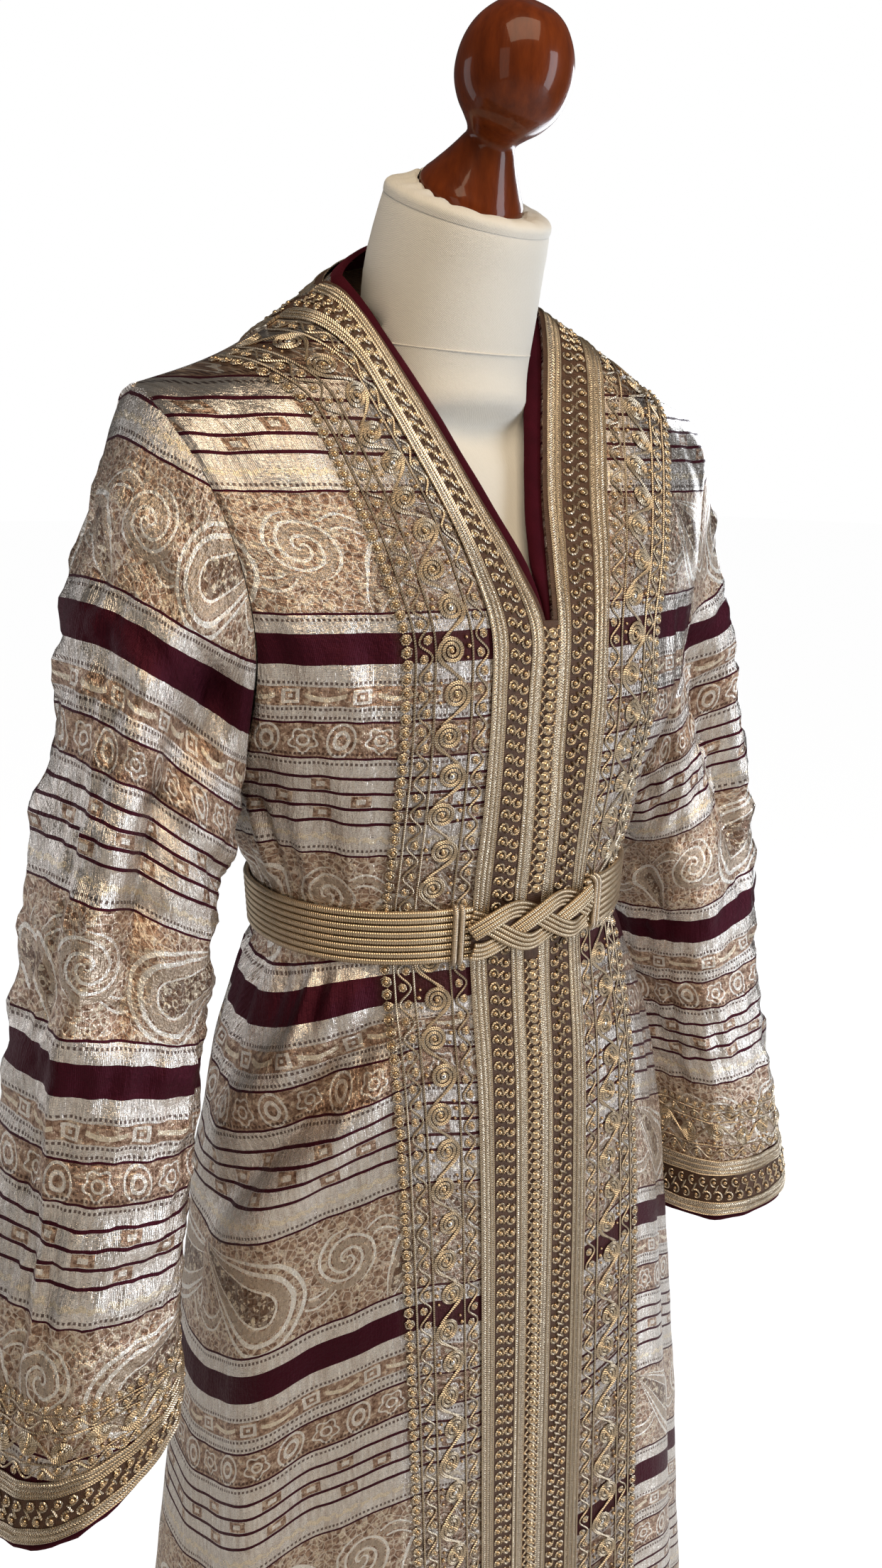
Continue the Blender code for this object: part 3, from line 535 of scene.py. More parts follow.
def domes(centres: Array, normals: Array, radius: float | Array, sides: int = 6,
          height: float = 1.0) -> tuple[Array, Finishing]:
    """Beads sewn flat on cloth: low spheres cut at their foot.

    Args:
        centres: places of their feet.
        normals: which way they stand.
        radius: radius of the beads, one or one for each.
        sides: sides of each bead.
        height: height over radius.

    Returns:
        Points and faces of all beads.
    """
    number = len(centres)
    profile = np.array([(0.86, 0.0), (1.0, 0.45), (0.78, 0.95), (0.34, 1.22)])
    helper = np.where(np.abs(normals[:, :1]) < 0.8, [[1.0, 0.0, 0.0]], [[0.0, 1.0, 0.0]])
    east = unit(np.cross(normals, helper))
    north = np.cross(normals, east)
    angle = math.tau * np.arange(sides) / sides
    size = np.broadcast_to(np.asarray(radius, float), number)[:, None, None, None]
    flat = (east[:, None, None] * np.cos(angle)[None, None, :, None]
            + north[:, None, None] * np.sin(angle)[None, None, :, None])
    ring = (centres[:, None, None] + size * (flat * profile[None, :, :1, None]
            + height * normals[:, None, None] * profile[None, :, 1:, None]))
    levels = len(profile)
    n, i, j = np.meshgrid(np.arange(number), np.arange(levels - 1), np.arange(sides), indexing="ij")
    n, i, j = n.ravel(), i.ravel(), j.ravel()
    k = (j + 1) % sides
    base = n * levels * sides
    faces = np.stack([base + i * sides + j, base + i * sides + k,
                      base + (i + 1) * sides + k, base + (i + 1) * sides + j], 1)
    made = Finishing()
    made.add(faces, np.zeros((len(faces), 4, 2)))
    for level, reverse in ((0, True), (levels - 1, False)):
        caps = (np.arange(number)[:, None] * levels + level) * sides + np.arange(sides)[None]
        made.add(caps[:, ::-1] if reverse else caps, np.zeros((number, sides, 2)))
    return ring.reshape(-1, 3), made


def joined(parts: Iterable[tuple[Array, Finishing]],
           slots: Sequence[int] | None = None) -> tuple[Array, Finishing]:
    """Several sets of points and faces as one.

    Args:
        parts: the sets.
        slots: material index of each, if they differ.

    Returns:
        All points and all faces.
    """
    points, made, start = [], Finishing(), 0
    for n, (own, finishing) in enumerate(parts):
        points.append(own)
        for faces, corners, slot in zip(finishing.faces, finishing.corners, finishing.slots):
            made.add(faces + start, corners, slot if slots is None else slots[n])
        start += len(own)
    return np.concatenate(points), made


class Cloth:
    """One piece of cloth as a displaced grid: points, normals and flat places."""

    def __init__(self, points: Array, flat: Array, closed: bool = False,
                 outward: Array | None = None) -> None:
        """Keep the grid and work out its normals.

        Args:
            points: rows by columns of points.
            flat: rows by columns (one more if closed) of metres across and along the cloth.
            closed: whether the last column meets the first.
            outward: directions that the normals should agree with.
        """
        self.points = points
        self.flat = flat
        self.closed = closed
        self.normals = grid_normals(points, closed)
        if outward is not None and np.sum(self.normals * outward) < 0:
            self.normals = -self.normals
        if not closed:
            self.normals = ridge_blend(points, self.normals)

    def inner(self, thickness: float = CLOTH) -> Array:
        """The other side of the cloth."""
        return self.points - self.normals * thickness


def refined(grid: Array, count: int, column: int) -> tuple[Array, Array]:
    """Rows spaced evenly along one column, by the smooth cubic through the key rows.

    Args:
        grid: key rows by columns of points.
        count: rows wanted.
        column: the column whose length counts.

    Returns:
        The rows, and each row's distance from the first along that column.
    """
    run = run_along(grid[:, column])
    at = np.linspace(0.0, run[-1], count)
    return cubic(at, run, grid), at


class Body:
    """The kaftan's body: where the bands of the cloth lie, and its folds."""

    period: float = 0.255
    band_heights: tuple[float, ...] = (1.258, 1.020, 0.765, 0.515, 0.260, 0.010, -0.245)

    def warp(self, z: Array, share: Array, back: bool) -> Array:
        """Metres along the cloth, down from the top of a dark band.

        Below the chest it follows the heights of the dark bands, which sink towards
        the side seams; above it is the length over the shoulder.

        Args:
            z: heights of the points.
            share: share of the way from the centre to the side seam.
            back: whether the points are on the back.

        Returns:
            The distance along the cloth.
        """
        knots = np.array(self.band_heights)[::-1]
        values = (0.011 + self.period * np.arange(len(knots)))[::-1]
        sink = np.interp(z, [0.0, 0.3, 0.5, 0.75, 1.0, 1.08], [0.085, 0.080, 0.075, 0.062, 0.030, 0.0])
        reach = smooth_step((share - 0.42) / 0.58) - 0.26 * bump(share, 0.36, 0.13) * (z < 1.0)
        level = z + sink * reach
        below = np.interp(level, knots, values)
        above = 0.011 - (level - self.band_heights[0]) * (1.03 if back else 1.12)
        return np.where(level > self.band_heights[0], above, below)

    def folds(self, points: Array, stiff: Array) -> Array:
        """How far the cloth stands out from the plain shape.

        Long folds open from the belt to the hem, small gathers stand above and
        below the belt, and soft buckles lie over the chest.

        Args:
            points: points of the plain shape.
            stiff: 1 where trims or seams hold the cloth flat, 0 where it is free.

        Returns:
            Distances along the normals.
        """
        x, y, z = points[..., 0], points[..., 1], points[..., 2]
        angle = np.arctan2(x, -y)
        below = np.clip((BELT_LOW_Z - 0.004 - z) / 0.5, 0.0, 1.0)
        drop = np.clip((BELT_LOW_Z - z) / 1.0, 0.0, 1.0)
        waves = (np.cos(5.0 * angle + 0.5 + 0.5 * drop) * 0.55 + np.cos(8.0 * angle - 1.2 + 0.9 * drop) * 0.40
                 + 0.35 * ripple(angle * 2.2, z * 0.9, 11))
        long_folds = 0.0100 * below ** 0.8 * waves
        drawn_at = -0.70 - 4.2 * np.maximum(BELT_LOW_Z - z, 0.0)
        drawn = 0.0140 * (bump(angle, drawn_at + 0.20, 0.11) - 1.1 * bump(angle, drawn_at, 0.09)
                          + 0.6 * bump(angle, drawn_at - 0.26, 0.12))
        drawn = (drawn * smooth_step((BELT_LOW_Z - z) / 0.03)
                 * (1.0 - smooth_step((BELT_LOW_Z - z - 0.10) / 0.16)))
        under = (smooth_step((BELT_LOW_Z - 0.003 - z) / 0.02)
                 * np.exp(-np.maximum(BELT_LOW_Z - z, 0.0) / 0.085))
        over = (smooth_step((z - BELT_HIGH_Z - 0.003) / 0.02)
                * np.exp(-np.maximum(z - BELT_HIGH_Z, 0.0) / 0.060))
        gathers = 0.0062 * (under + over) * ripple(angle * 5.5, z * 2.5, 5)
        chest = smooth_step((z - BELT_HIGH_Z - 0.01) / 0.06)
        buckles = 0.0036 * chest * ripple(angle * 1.6 + z * 3.0, z * 7.0 - np.abs(angle) * 1.1, 23)
        small = 0.0013 * ripple(angle * 5.0, z * 13.0, 31) * (0.45 + 0.55 * chest)
        belt = smooth_step((np.abs(z - 0.5 * (BELT_LOW_Z + BELT_HIGH_Z)) - 0.021) / 0.012)
        return (long_folds + drawn + gathers + buckles + small) * belt * (1.0 - stiff)


class FrontPanel(Body):
    """One front of the kaftan, from the centre edge to the side seam and armhole."""

    trim_step: float = 0.004
    trim_columns: int = 31
    side_columns: int = 40
    rows: int = 180

    def __init__(self, side: Side) -> None:
        """Work out the front's grid.

        Args:
            side: which front.
        """
        self.side = side
        near = CENTRE_GAP + self.trim_step * np.arange(self.trim_columns)
        key = []
        for kind, value in [("s", z) for z in SKIRT_ROWS] + [("c", w) for w in CHEST_ROWS]:
            curve = skirt_row(value, False) if kind == "s" else chest_row(value, False)
            total = run_along(curve)[-1]
            far = near[-1] + (total - near[-1]) * np.linspace(0.0, 1.0, self.side_columns)[1:]
            key.append(np.column_stack([at_lengths(curve, np.r_[near, far]), np.r_[near, far],
                                        np.r_[near, far] / total]))
        fine, self.distance = refined(np.array(key), self.rows, 8)
        plain, across, share = fine[..., :3], fine[..., 3], fine[..., 4]
        self.across = across[0, :self.trim_columns]
        flip = np.array([side.value, 1.0, 1.0])
        plain = plain * flip
        z = plain[..., 2]
        top = np.broadcast_to(self.distance[-1] - self.distance[:, None], share.shape)
        seam = np.maximum(1.0 - top / 0.03, 0.0)
        armhole = np.where(z > UNDERARM_Z - 0.02, np.maximum(1.0 - (1.0 - share) * 12.0, 0.0), 0.0)
        trimmed = 1.0 - smooth_step((across - 0.095) / 0.06)
        stiff = np.clip(np.maximum.reduce([seam, armhole, trimmed * 0.90]), 0.0, 1.0)
        normal = Cloth(plain, fine[..., 3:5], outward=self.outward(plain)).normals
        seam_dip = 0.0016 * bump((1.0 - share) * 0.22, 0.0, 0.004) * (z > UNDERARM_Z)
        shaped = plain + normal * (self.folds(plain, stiff) - seam_dip)[..., None]
        warp = self.warp(z, share, False)
        flat = np.stack([across * side.value, -warp], axis=-1)
        self.cloth = Cloth(shaped, flat, outward=self.outward(plain))
        self.edge = self.cloth.points[:, 0]

    @staticmethod
    def outward(points: Array) -> Array:
        """Rough outward directions: away from the upright axis, and up."""
        return points * [1.0, 1.0, 0.0] + [0.0, -0.02, 0.05]

    def locate(self, across: Array, along: Array) -> tuple[Array, Array]:
        """Place flat points on the front.

        Args:
            across: metres from the centre edge.
            along: metres up from the hem along the edge.

        Returns:
            Points and normals, by straight interpolation in the grid.
        """
        row = np.interp(along, self.distance, np.arange(self.rows))
        column = np.clip((across - CENTRE_GAP) / self.trim_step, 0.0, self.trim_columns - 1.001)
        i = np.clip(row.astype(int), 0, self.rows - 2)
        j = column.astype(int)
        a, b = (row - i)[..., None], (column - j)[..., None]

        def read(grid: Array) -> Array:
            return ((1 - a) * ((1 - b) * grid[i, j] + b * grid[i, j + 1])
                    + a * ((1 - b) * grid[i + 1, j] + b * grid[i + 1, j + 1]))

        return read(self.cloth.points), unit(read(self.cloth.normals))

    def build(self, materials: Sequence[bpy.types.Material]) -> bpy.types.Object:
        """The front as a wall of cloth with its lining inside."""
        obj = shell("kaftan_front_" + self.side.word, self.cloth.points, self.cloth.inner(), self.cloth.flat,
                    materials, inner_slot=1)
        across = np.abs(self.cloth.flat[..., 0])
        # Zone round the embroidery where the brocade gets painted shade, standing for the shadows of the
        # cords.
        painted_shade_zone = smooth_step((across - TRIM_WIDTH) / 0.004) * (1.0 - smooth_step((across - 0.113) / 0.006))
        values = np.zeros(len(obj.data.vertices), np.float32)
        values[:painted_shade_zone.size] = painted_shade_zone.ravel()
        obj.data.attributes.new("painted_shade_zone", "FLOAT", "POINT").data.foreach_set("value", values)
        return obj


class BackPanel(Body):
    """The back of the kaftan in one piece."""

    columns: int = 44
    rows: int = 150

    def __init__(self) -> None:
        """Work out the back's grid."""
        key = []
        for kind, value in [("s", z) for z in SKIRT_ROWS] + [("c", w) for w in CHEST_ROWS]:
            curve = skirt_row(value, True) if kind == "s" else chest_row(value, True)
            total = run_along(curve)[-1]
            share = np.linspace(0.0, 1.0, self.columns)
            key.append(np.column_stack([at_lengths(curve, total * share), total * share, share]))
        half, self.distance = refined(np.array(key), self.rows, 20)
        flip = np.array([-1.0, 1.0, 1.0, -1.0, 1.0])
        fine = np.concatenate([half[:, :0:-1] * flip, half], axis=1)
        plain, across, share = fine[..., :3], fine[..., 3], fine[..., 4]
        z = plain[..., 2]
        top = np.broadcast_to(self.distance[-1] - self.distance[:, None], share.shape)
        seam = np.maximum(1.0 - top / 0.05, 0.0)
        neck = np.maximum(1.0 - np.hypot(plain[..., 0] / 0.16, (1.53 - z) / 0.14), 0.0) * 2.0
        armhole = np.where(z > UNDERARM_Z - 0.02, np.maximum(1.0 - (1.0 - share) * 12.0, 0.0), 0.0)
        stiff = np.clip(np.maximum.reduce([seam, armhole, neck]), 0.0, 1.0)
        out = plain * [1.0, 1.0, 0.0] + [0.0, 0.02, 0.05]
        normal = Cloth(plain, fine[..., 3:5], outward=out).normals
        shaped = plain + normal * self.folds(plain, stiff)[..., None]
        flat = np.stack([across + 0.04, -self.warp(z, share, True)], axis=-1)
        self.cloth = Cloth(shaped, flat, outward=out)

    def build(self, materials: Sequence[bpy.types.Material]) -> bpy.types.Object:
        """The back as a wall of cloth with its lining inside."""
        return shell("kaftan_back", self.cloth.points, self.cloth.inner(), self.cloth.flat, materials,
                     inner_slot=1)


class Sleeve:
    """A long wide sleeve, from the armhole to its hem."""

    columns_half: int = 38
    rows: int = 112
    hem_set = {Side.RIGHT: (0.42, 0.712), Side.LEFT: (-0.10, 0.697)}
    period_ratio: float = 0.255 / 0.279

    def __init__(self, side: Side) -> None:
        """Work out the sleeve's rings.

        Args:
            side: which sleeve.
        """
        self.side = side
        shares = smooth_step(np.linspace(0.0, 1.0, self.columns_half)) * 0.4 \
            + np.linspace(0.0, 1.0, self.columns_half) * 0.6
        front = np.array([chest_row(w, False, 61)[-1] for w in shares])
        rear = np.array([chest_row(w, True, 61)[-1] for w in shares])
        seam = np.vstack([front[::-1], rear[1:-1]])
        run = run_along(np.vstack([seam, seam[:1]]))
        half = run[self.columns_half - 1]
        angle = np.where(run[:-1] <= half, run[:-1] * math.pi / half,
                         math.pi + (run[:-1] - half) * math.pi / (run[-1] - half))
        self.angle = angle
        rings = [seam]
        for share, cx, cy, cz, width, ahead, behind, drop in SLEEVE_RINGS:
            if share == 1.0:
                drop, cz = self.hem_set[side]
            c, s = np.cos(angle), np.sin(angle)
            lx = width * np.sign(c) * np.abs(c) ** (2.0 / SLEEVE_EXPONENT)
            depth = np.where(s > 0, ahead, behind)
            ly = -depth * np.sign(s) * np.abs(s) ** (2.0 / SLEEVE_EXPONENT)
            rings.append(np.stack([cx + lx, cy + ly, cz - drop * lx], axis=1))
        knots = np.r_[0.0, SLEEVE_RINGS[:, 0]]
        self.shares = np.linspace(0.0, 1.0, self.rows)
        plain = cubic(self.shares, knots, np.array(rings))
        flip = np.array([side.value, 1.0, 1.0])
        plain = plain * flip
        middle = plain.mean(axis=1, keepdims=True)
        normal = Cloth(plain, np.zeros((1, 1, 2)), closed=True, outward=plain - middle).normals
        shaped = plain + normal * self.folds(angle[None], self.shares[:, None])[..., None]
        self.cloth = Cloth(shaped, self.flat_places(plain), closed=True, outward=plain - middle)
        steps = np.linalg.norm(np.diff(shaped, axis=0), axis=2)
        self.up = np.concatenate([np.cumsum(steps[::-1], axis=0)[::-1], np.zeros((1, len(angle)))])
        girth = np.linalg.norm(np.roll(shaped[-1], -1, 0) - shaped[-1], axis=1)
        self.round = np.r_[0.0, np.cumsum(girth)]

    def folds(self, angle: Array, share: Array) -> Array:
        """How far the sleeve stands out from its plain shape.

        A deep valley runs down the front of the upper arm, long soft folds open
        towards the hem and small buckles lie across the elbow.

        Args:
            angle: turn from the top of the arm over the front.
            share: share of the way from the armhole to the hem.

        Returns:
            Distances along the normals.
        """
        near_seam = smooth_step(share / 0.10)
        near_hem = 1.0 - 0.7 * smooth_step((share - 0.80) / 0.15)
        valley_at = 1.75 - 1.1 * share
        valley = (-0.0200 * bump(angle, valley_at, 0.18) * smooth_step(share / 0.12)
                  * (1 - smooth_step((share - 0.38) / 0.2)))
        swell = (0.0110 * bump(angle, valley_at - 0.42, 0.25) * smooth_step(share / 0.15)
                 * (1 - smooth_step((share - 0.5) / 0.2)))
        seed = 40 if self.side is Side.RIGHT else 60
        long_folds = 0.0064 * (np.cos(3.0 * angle + 0.7 + share)
                               + 0.6 * np.cos(5.0 * angle + 2.0 - share)) * share
        crease = (0.0045 * np.maximum(1.0 - np.abs(angle - 0.62) / 0.16, 0.0)
                  * smooth_step((share - 0.15) / 0.2))
        buckles = 0.0042 * ripple(angle * 0.9, share * 9.0, seed) * bump(share, 0.30, 0.30)
        small = 0.0024 * ripple(angle * 3.0, share * 20.0, seed + 3)
        dip = -0.0016 * bump(share, 0.0, 0.008)
        return (valley + swell + long_folds + crease + buckles + small) * near_seam * near_hem + dip

    def flat_places(self, plain: Array) -> Array:
        """Metres round and along the sleeve's cloth.

        Along the top of the arm it is the length from the shoulder tip; under the
        arm it follows the heights where the dark bands lie; between them the two
        are mixed by (1 - cos angle) / 2.

        Args:
            plain: the sleeve's rings.

        Returns:
            Rows by columns plus one, by two.
        """
        top = run_along(plain[:, 0])
        under = plain[:, self.columns_half - 1, 2]
        low = np.interp(-under, [-1.17, -0.97, -0.735], [0.147, 0.427, 0.690])
        low = np.where(under > 1.17, 0.147 - (under - 1.17), low)
        angle = np.r_[self.angle, math.tau]
        mix = (1.0 - np.cos(angle)) / 2.0
        length = (1.0 - mix) * top[:, None] + mix * low[:, None]
        along = 0.011 - (0.147 - length) * self.period_ratio
        ring = np.concatenate([plain, plain[:, :1]], axis=1)
        steps = np.linalg.norm(np.diff(ring, axis=1), axis=2)
        around = np.concatenate([np.zeros((self.rows, 1)), np.cumsum(steps, axis=1)], axis=1)
        return np.stack([around * self.side.value + 0.10, -along], axis=-1)

    def locate(self, up: Array, around: Array) -> tuple[Array, Array]:
        """Place flat points near the hem.

        Args:
            up: metres up from the hem.
            around: metres round the hem from the top of the arm.

        Returns:
            Points and normals, by straight interpolation in the grid.
        """
        columns = len(self.angle)
        column = np.interp(np.mod(around, self.round[-1]), self.round, np.arange(columns + 1))
        j = np.clip(column.astype(int), 0, columns - 1)
        k = (j + 1) % columns
        b = (column - j)[..., None]
        lengths = self.up[:, 0]
        row = np.interp(-up, -lengths, np.arange(self.rows))
        i = np.clip(row.astype(int), 0, self.rows - 2)
        a = (row - i)[..., None]

        def read(grid: Array) -> Array:
            return ((1 - a) * ((1 - b) * grid[i, j] + b * grid[i, k])
                    + a * ((1 - b) * grid[i + 1, j] + b * grid[i + 1, k]))

        return read(self.cloth.points), unit(read(self.cloth.normals))

    def build(self, materials: Sequence[bpy.types.Material]) -> bpy.types.Object:
        """The sleeve as a wall of cloth with its lining inside."""
        return shell("kaftan_sleeve_" + self.side.word, self.cloth.points, self.cloth.inner(),
                     self.cloth.flat, materials, closed=True, inner_slot=1)


class Motifs:
    """Embroidery motifs in the flat: columns are metres across and along a trim."""

    loop_pitch: float = 0.0102
    rosette_pitch: float = 0.0090
    scroll_pitch: float = 0.0280
    tendril_pitch: float = 0.0120

    @staticmethod
    def arc(centre: Array, radius: Array, start: float, turn: float, count: int) -> Array:
        """Part of a circle or spiral: centre + radius (cos, sin) of a turning angle."""
        angle = np.linspace(start, start + turn, count)
        radius = np.broadcast_to(radius, count)
        return centre + np.stack([radius * np.cos(angle), radius * np.sin(angle)], 1)

    @classmethod
    def loop(cls, width: float) -> tuple[Array, Array]:
        """An S of cord that curls round two beads across the loop band.

        The two circles are joined by the line that touches both on opposite sides.

        Args:
            width: width of the band.

        Returns:
            The cord's points and the two beads' centres.
        """
        radius = 0.0040
        a = np.array([0.25 * width, 0.0])
        b = np.array([0.74 * width, 0.0030])
        between = b - a
        heading = math.atan2(between[1], between[0])
        lean = math.acos(2 * radius / np.linalg.norm(between))
        first = cls.arc(a, np.linspace(0.55, 1.0, 10) ** 0.6 * radius, heading + lean - 5.0, 5.0, 10)
        second = cls.arc(b, np.linspace(1.0, 0.55, 10) ** 0.6 * radius, heading + lean + math.pi, -5.0, 10)
        return np.vstack([first, second]), np.array([a, b])

    @classmethod
    def rosette(cls, size: float) -> Array:
        """A small coil of cord, a spiral of one and a half turns round its bead."""
        radius = size * np.linspace(1.0, 0.45, 11)
        return cls.arc(np.zeros(2), radius, 0.4, 1.6 * math.tau, 11)

    @classmethod
    def scroll(cls, size: float, pitch: float, sway: float, inset: float) -> Array:
        """A stem that leaves one scroll and winds up in the next, three turns inwards.

        Scrolls stand to either side of the column by turns and wind opposite ways,
        so the stem is the line that touches both circles on opposite sides.

        Args:
            size: outer radius of the scroll.
            pitch: distance between scrolls.
            sway: how far the scrolls stand to the side.
            inset: how far this cord lies inside the outer one.

        Returns:
            Points of two units, one for each side.
        """
        units = []
        for side in (1.0, -1.0):
            here = np.array([sway * side, 0.0])
            following = np.array([-sway * side, pitch])
            radius = size - inset
            between = following - here
            heading = math.atan2(between[1], between[0])
            lean = math.acos(min(2 * radius / np.linalg.norm(between), 0.98)) * side
            leave = here + radius * np.array([math.cos(heading - lean), math.sin(heading - lean)])
            start = heading - lean + math.pi
            count = 34
            shrink = radius * (1.0 - 0.86 * np.linspace(0.0, 1.0, count) ** 0.9)
            winding = cls.arc(following, shrink, start, -side * 2.6 * math.tau, count)
            stem = leave + (winding[0] - leave) * np.array([[0.0], [0.25], [0.5], [0.75]])
            units.append(np.vstack([stem, winding]))
        return np.array(units)


@dataclass
class Strip:
    """A length of trim: where it lies and how long it is."""

    name: str
    locate: Locate
    start: float
    end: float

    def places(self, pitch: float, shift: float = 0.0) -> Array:
        """Places along the strip at an even pitch that fits a whole number of times."""
        count = max(int(round((self.end - self.start) / pitch)), 1)
        step = (self.end - self.start) / count
        return self.start + step * (np.arange(count) + 0.5 + shift)


class Embroidery:
    """Cords and beads of one strip, gathered by kind and made into pieces."""

    def __init__(self, strip: Strip, base: float) -> None:
        """Start with nothing sewn on.

        Args:
            strip: where the embroidery goes.
            base: height of the ground over the cloth.
        """
        self.strip = strip
        self.base = base
        self.cords: list[tuple[Array, Finishing]] = []
        self.beads: list[tuple[Array, Finishing]] = []
        self.crystals: list[tuple[Array, Finishing]] = []

    def lay(self, flat: Array, radius: float, sides: int = 4, extra: float = 0.0) -> None:
        """Sew cords down.

        Args:
            flat: cords by points by two: across, along.
            radius: the cord's radius.
            sides: its sides.
            extra: added height over the ground.
        """
        points, normals = self.strip.locate(flat[..., 0], flat[..., 1])
        self.cords.append(tubes(points, normals, radius, sides, self.base + extra + radius * 0.75))

    def line(self, across: float, radius: float, step: float = 0.005, lift: float = 0.0) -> None:
        """Sew a straight cord along the whole strip."""
        count = int((self.strip.end - self.strip.start) / step)
        along = np.linspace(self.strip.start, self.strip.end, count)
        self.lay(np.stack([np.full(count, across), along], 1)[None], radius, 4, lift)

    def sew_beads(self, flat: Array, radius: float | Array, sides: int = 6, crystal: bool = False,
                  extra: float = 0.0) -> None:
        """Sew beads at flat places, on the ground."""
        points, normals = self.strip.locate(flat[:, 0], flat[:, 1])
        feet = points + normals * (self.base + extra)
        target = self.crystals if crystal else self.beads
        target.append(domes(feet, normals, radius, sides, 1.0 if not crystal else 0.6))

    def loops(self, start: float, width: float) -> None:
        """Fill a band with S loops and their beads.

        Args:
            start: distance of the band's edge from the strip's edge.
            width: width of the band.
        """
        cord, beads = Motifs.loop(width)
        at = self.strip.places(Motifs.loop_pitch)
        shift = np.stack([np.full(len(at), start), at], 1)
        self.lay(cord[None] + shift[:, None], 0.00088, 4)
        for n, bead in enumerate(beads):
            self.sew_beads(bead + shift, 0.0020 if n else 0.0018, 7)

    def rosettes(self, across: float, size: float, pitch: float, sway: float = 0.0) -> None:
        """A column of small coils with a bead in each.

        Args:
            across: middle of the column.
            size: radius of a coil.
            pitch: distance between coils.
            sway: how far coils stand to either side by turns.
        """
        at = self.strip.places(pitch)
        side = np.where(np.arange(len(at)) % 2 == 0, 1.0, -1.0)
        centre = np.stack([across + sway * side, at], 1)
        coil = Motifs.rosette(size)
        turned = np.stack([coil[:, 0] * side[:, None], np.broadcast_to(coil[:, 1], (len(at), len(coil)))], 2)
        self.lay(turned + centre[:, None], 0.00070, 4)
        self.sew_beads(centre, size * 0.44, 6)

    def tendril(self, across: float, reach: float) -> None:
        """A waving cord with a small coil in each hollow."""
        pitch = Motifs.tendril_pitch
        at = self.strip.places(pitch)
        step = at[1] - at[0]
        count = len(at) * 9
        along = np.linspace(self.strip.start, self.strip.end, count)
        wave = across - reach * np.cos(math.pi * (along - at[0]) / step)
        self.lay(np.stack([wave, along], 1)[None], 0.00075, 4)
        self.rosettes(across, 0.0032, pitch, reach * 0.40)

    def scrolls(self, across: float, size: float, pitch: float, sway: float) -> None:
        """A column of large scrolls joined by stems, wound from two cords."""
        at = self.strip.places(pitch, -0.5)
        for inset in (0.0, 0.0016):
            units = Motifs.scroll(size, at[1] - at[0], sway, inset)
            for parity in (0, 1):
                own = at[parity::2]
                shift = np.stack([np.full(len(own), across), own], 1)
                path = units[parity][None] + shift[:, None]
                path[..., 1] = np.clip(path[..., 1], self.strip.start + 0.001, self.strip.end - 0.001)
                self.lay(path, 0.00078, 4, extra=0.0002 * parity)
        side = np.where(np.arange(len(at)) % 2 == 0, 1.0, -1.0)
        centre = np.stack([across + sway * side, at], 1)
        clear = np.arange(len(at)) % 4 == 1
        self.sew_beads(centre[~clear], 0.0017, 6)
        self.sew_beads(centre[clear], 0.0021, 8, crystal=True)
        for reach, rise, radius in ((0.98, 0.10, 0.0017), (0.86, 0.30, 0.0012), (0.86, -0.16, 0.0012)):
            fill = np.stack([across - side * size * reach, at + pitch * rise], 1)
            inside = (fill[:, 1] > self.strip.start) & (fill[:, 1] < self.strip.end)
            self.sew_beads(fill[inside], radius, 6)

    def piece(self, kind: str, sets: list[tuple[Array, Finishing]], material: bpy.types.Material
              ) -> bpy.types.Object | None:
        """Make one piece of all the cords or beads so far."""
        if not sets:
            return None
        points, made = joined(sets)
        return put_mesh(f"{self.strip.name}_{kind}", points, made, [material], 70.0)


def trim_shell(name: str, locate: Locate, across: Array, heights: Array, along: Array, lift: float,
               materials: Sequence[bpy.types.Material], slots: Array | int, closed: bool = False
               ) -> bpy.types.Object:
    """A band of trim with a raised profile, laid along an edge.

    Args:
        name: the piece's name.
        locate: places flat points on the cloth.
        across: stations across the band.
        heights: height of the profile at each station.
        along: places along the band.
        lift: gap under the band.
        materials: the band's materials.
        slots: material index of each span across.
        closed: whether the band goes all the way round.

    Returns:
        The piece.
    """
    a, s = np.meshgrid(along, across, indexing="ij")
    points, normals = locate(s, a)
    outer = points + normals * (lift + heights)[None, :, None]
    inner = points + normals * lift
    flat = np.stack([s, a], axis=-1)
    if closed:
        outer, inner, flat = (np.swapaxes(g, 0, 1) for g in (outer, inner, flat))
        flat = np.concatenate([flat, flat[:, -1:] + [[0.0, along[1] - along[0]]]], axis=1)
        obj = shell(name, outer, inner, flat, materials, closed=True)
        spans = len(along)
        index = np.zeros(len(obj.data.polygons), np.int32)
        index[:(len(across) - 1) * spans] = np.repeat(np.broadcast_to(slots, len(across) - 1), spans)
        obj.data.polygons.foreach_set("material_index", index)
        return obj
    return shell(name, outer, inner, flat, materials, outer_slots=slots)


class TrimProfile:
    """Cross-section of the edge trim: braid, loop ground, braid."""

    def __init__(self, edge: float, start: float, braid: float, ground: float, outer_braid: float) -> None:
        """Work out stations, heights and materials.

        Args:
            edge: first station, of the flat edge under the first braid.
            start: where the first braid starts.
            braid: where the first braid ends.
            ground: where the loop ground ends.
            outer_braid: where the second braid ends.
        """
        first = np.linspace(start, braid, 9)
        second = np.linspace(ground, outer_braid, 9)
        self.across = np.r_[edge, start - 0.0003, first, braid + 0.0004, ground - 0.0004, second]
        arch = np.sqrt(np.maximum(1.0 - np.abs(np.linspace(-1, 1, 9)) ** 3.2, 0.0))
        raised = 0.0009 + 0.0009 * arch
        self.heights = np.r_[0.0007, 0.0008, raised, 0.0009, 0.0009, raised]
        self.slots = np.r_[1, 1, np.zeros(8), 1, 1, 1, np.zeros(8)].astype(int)


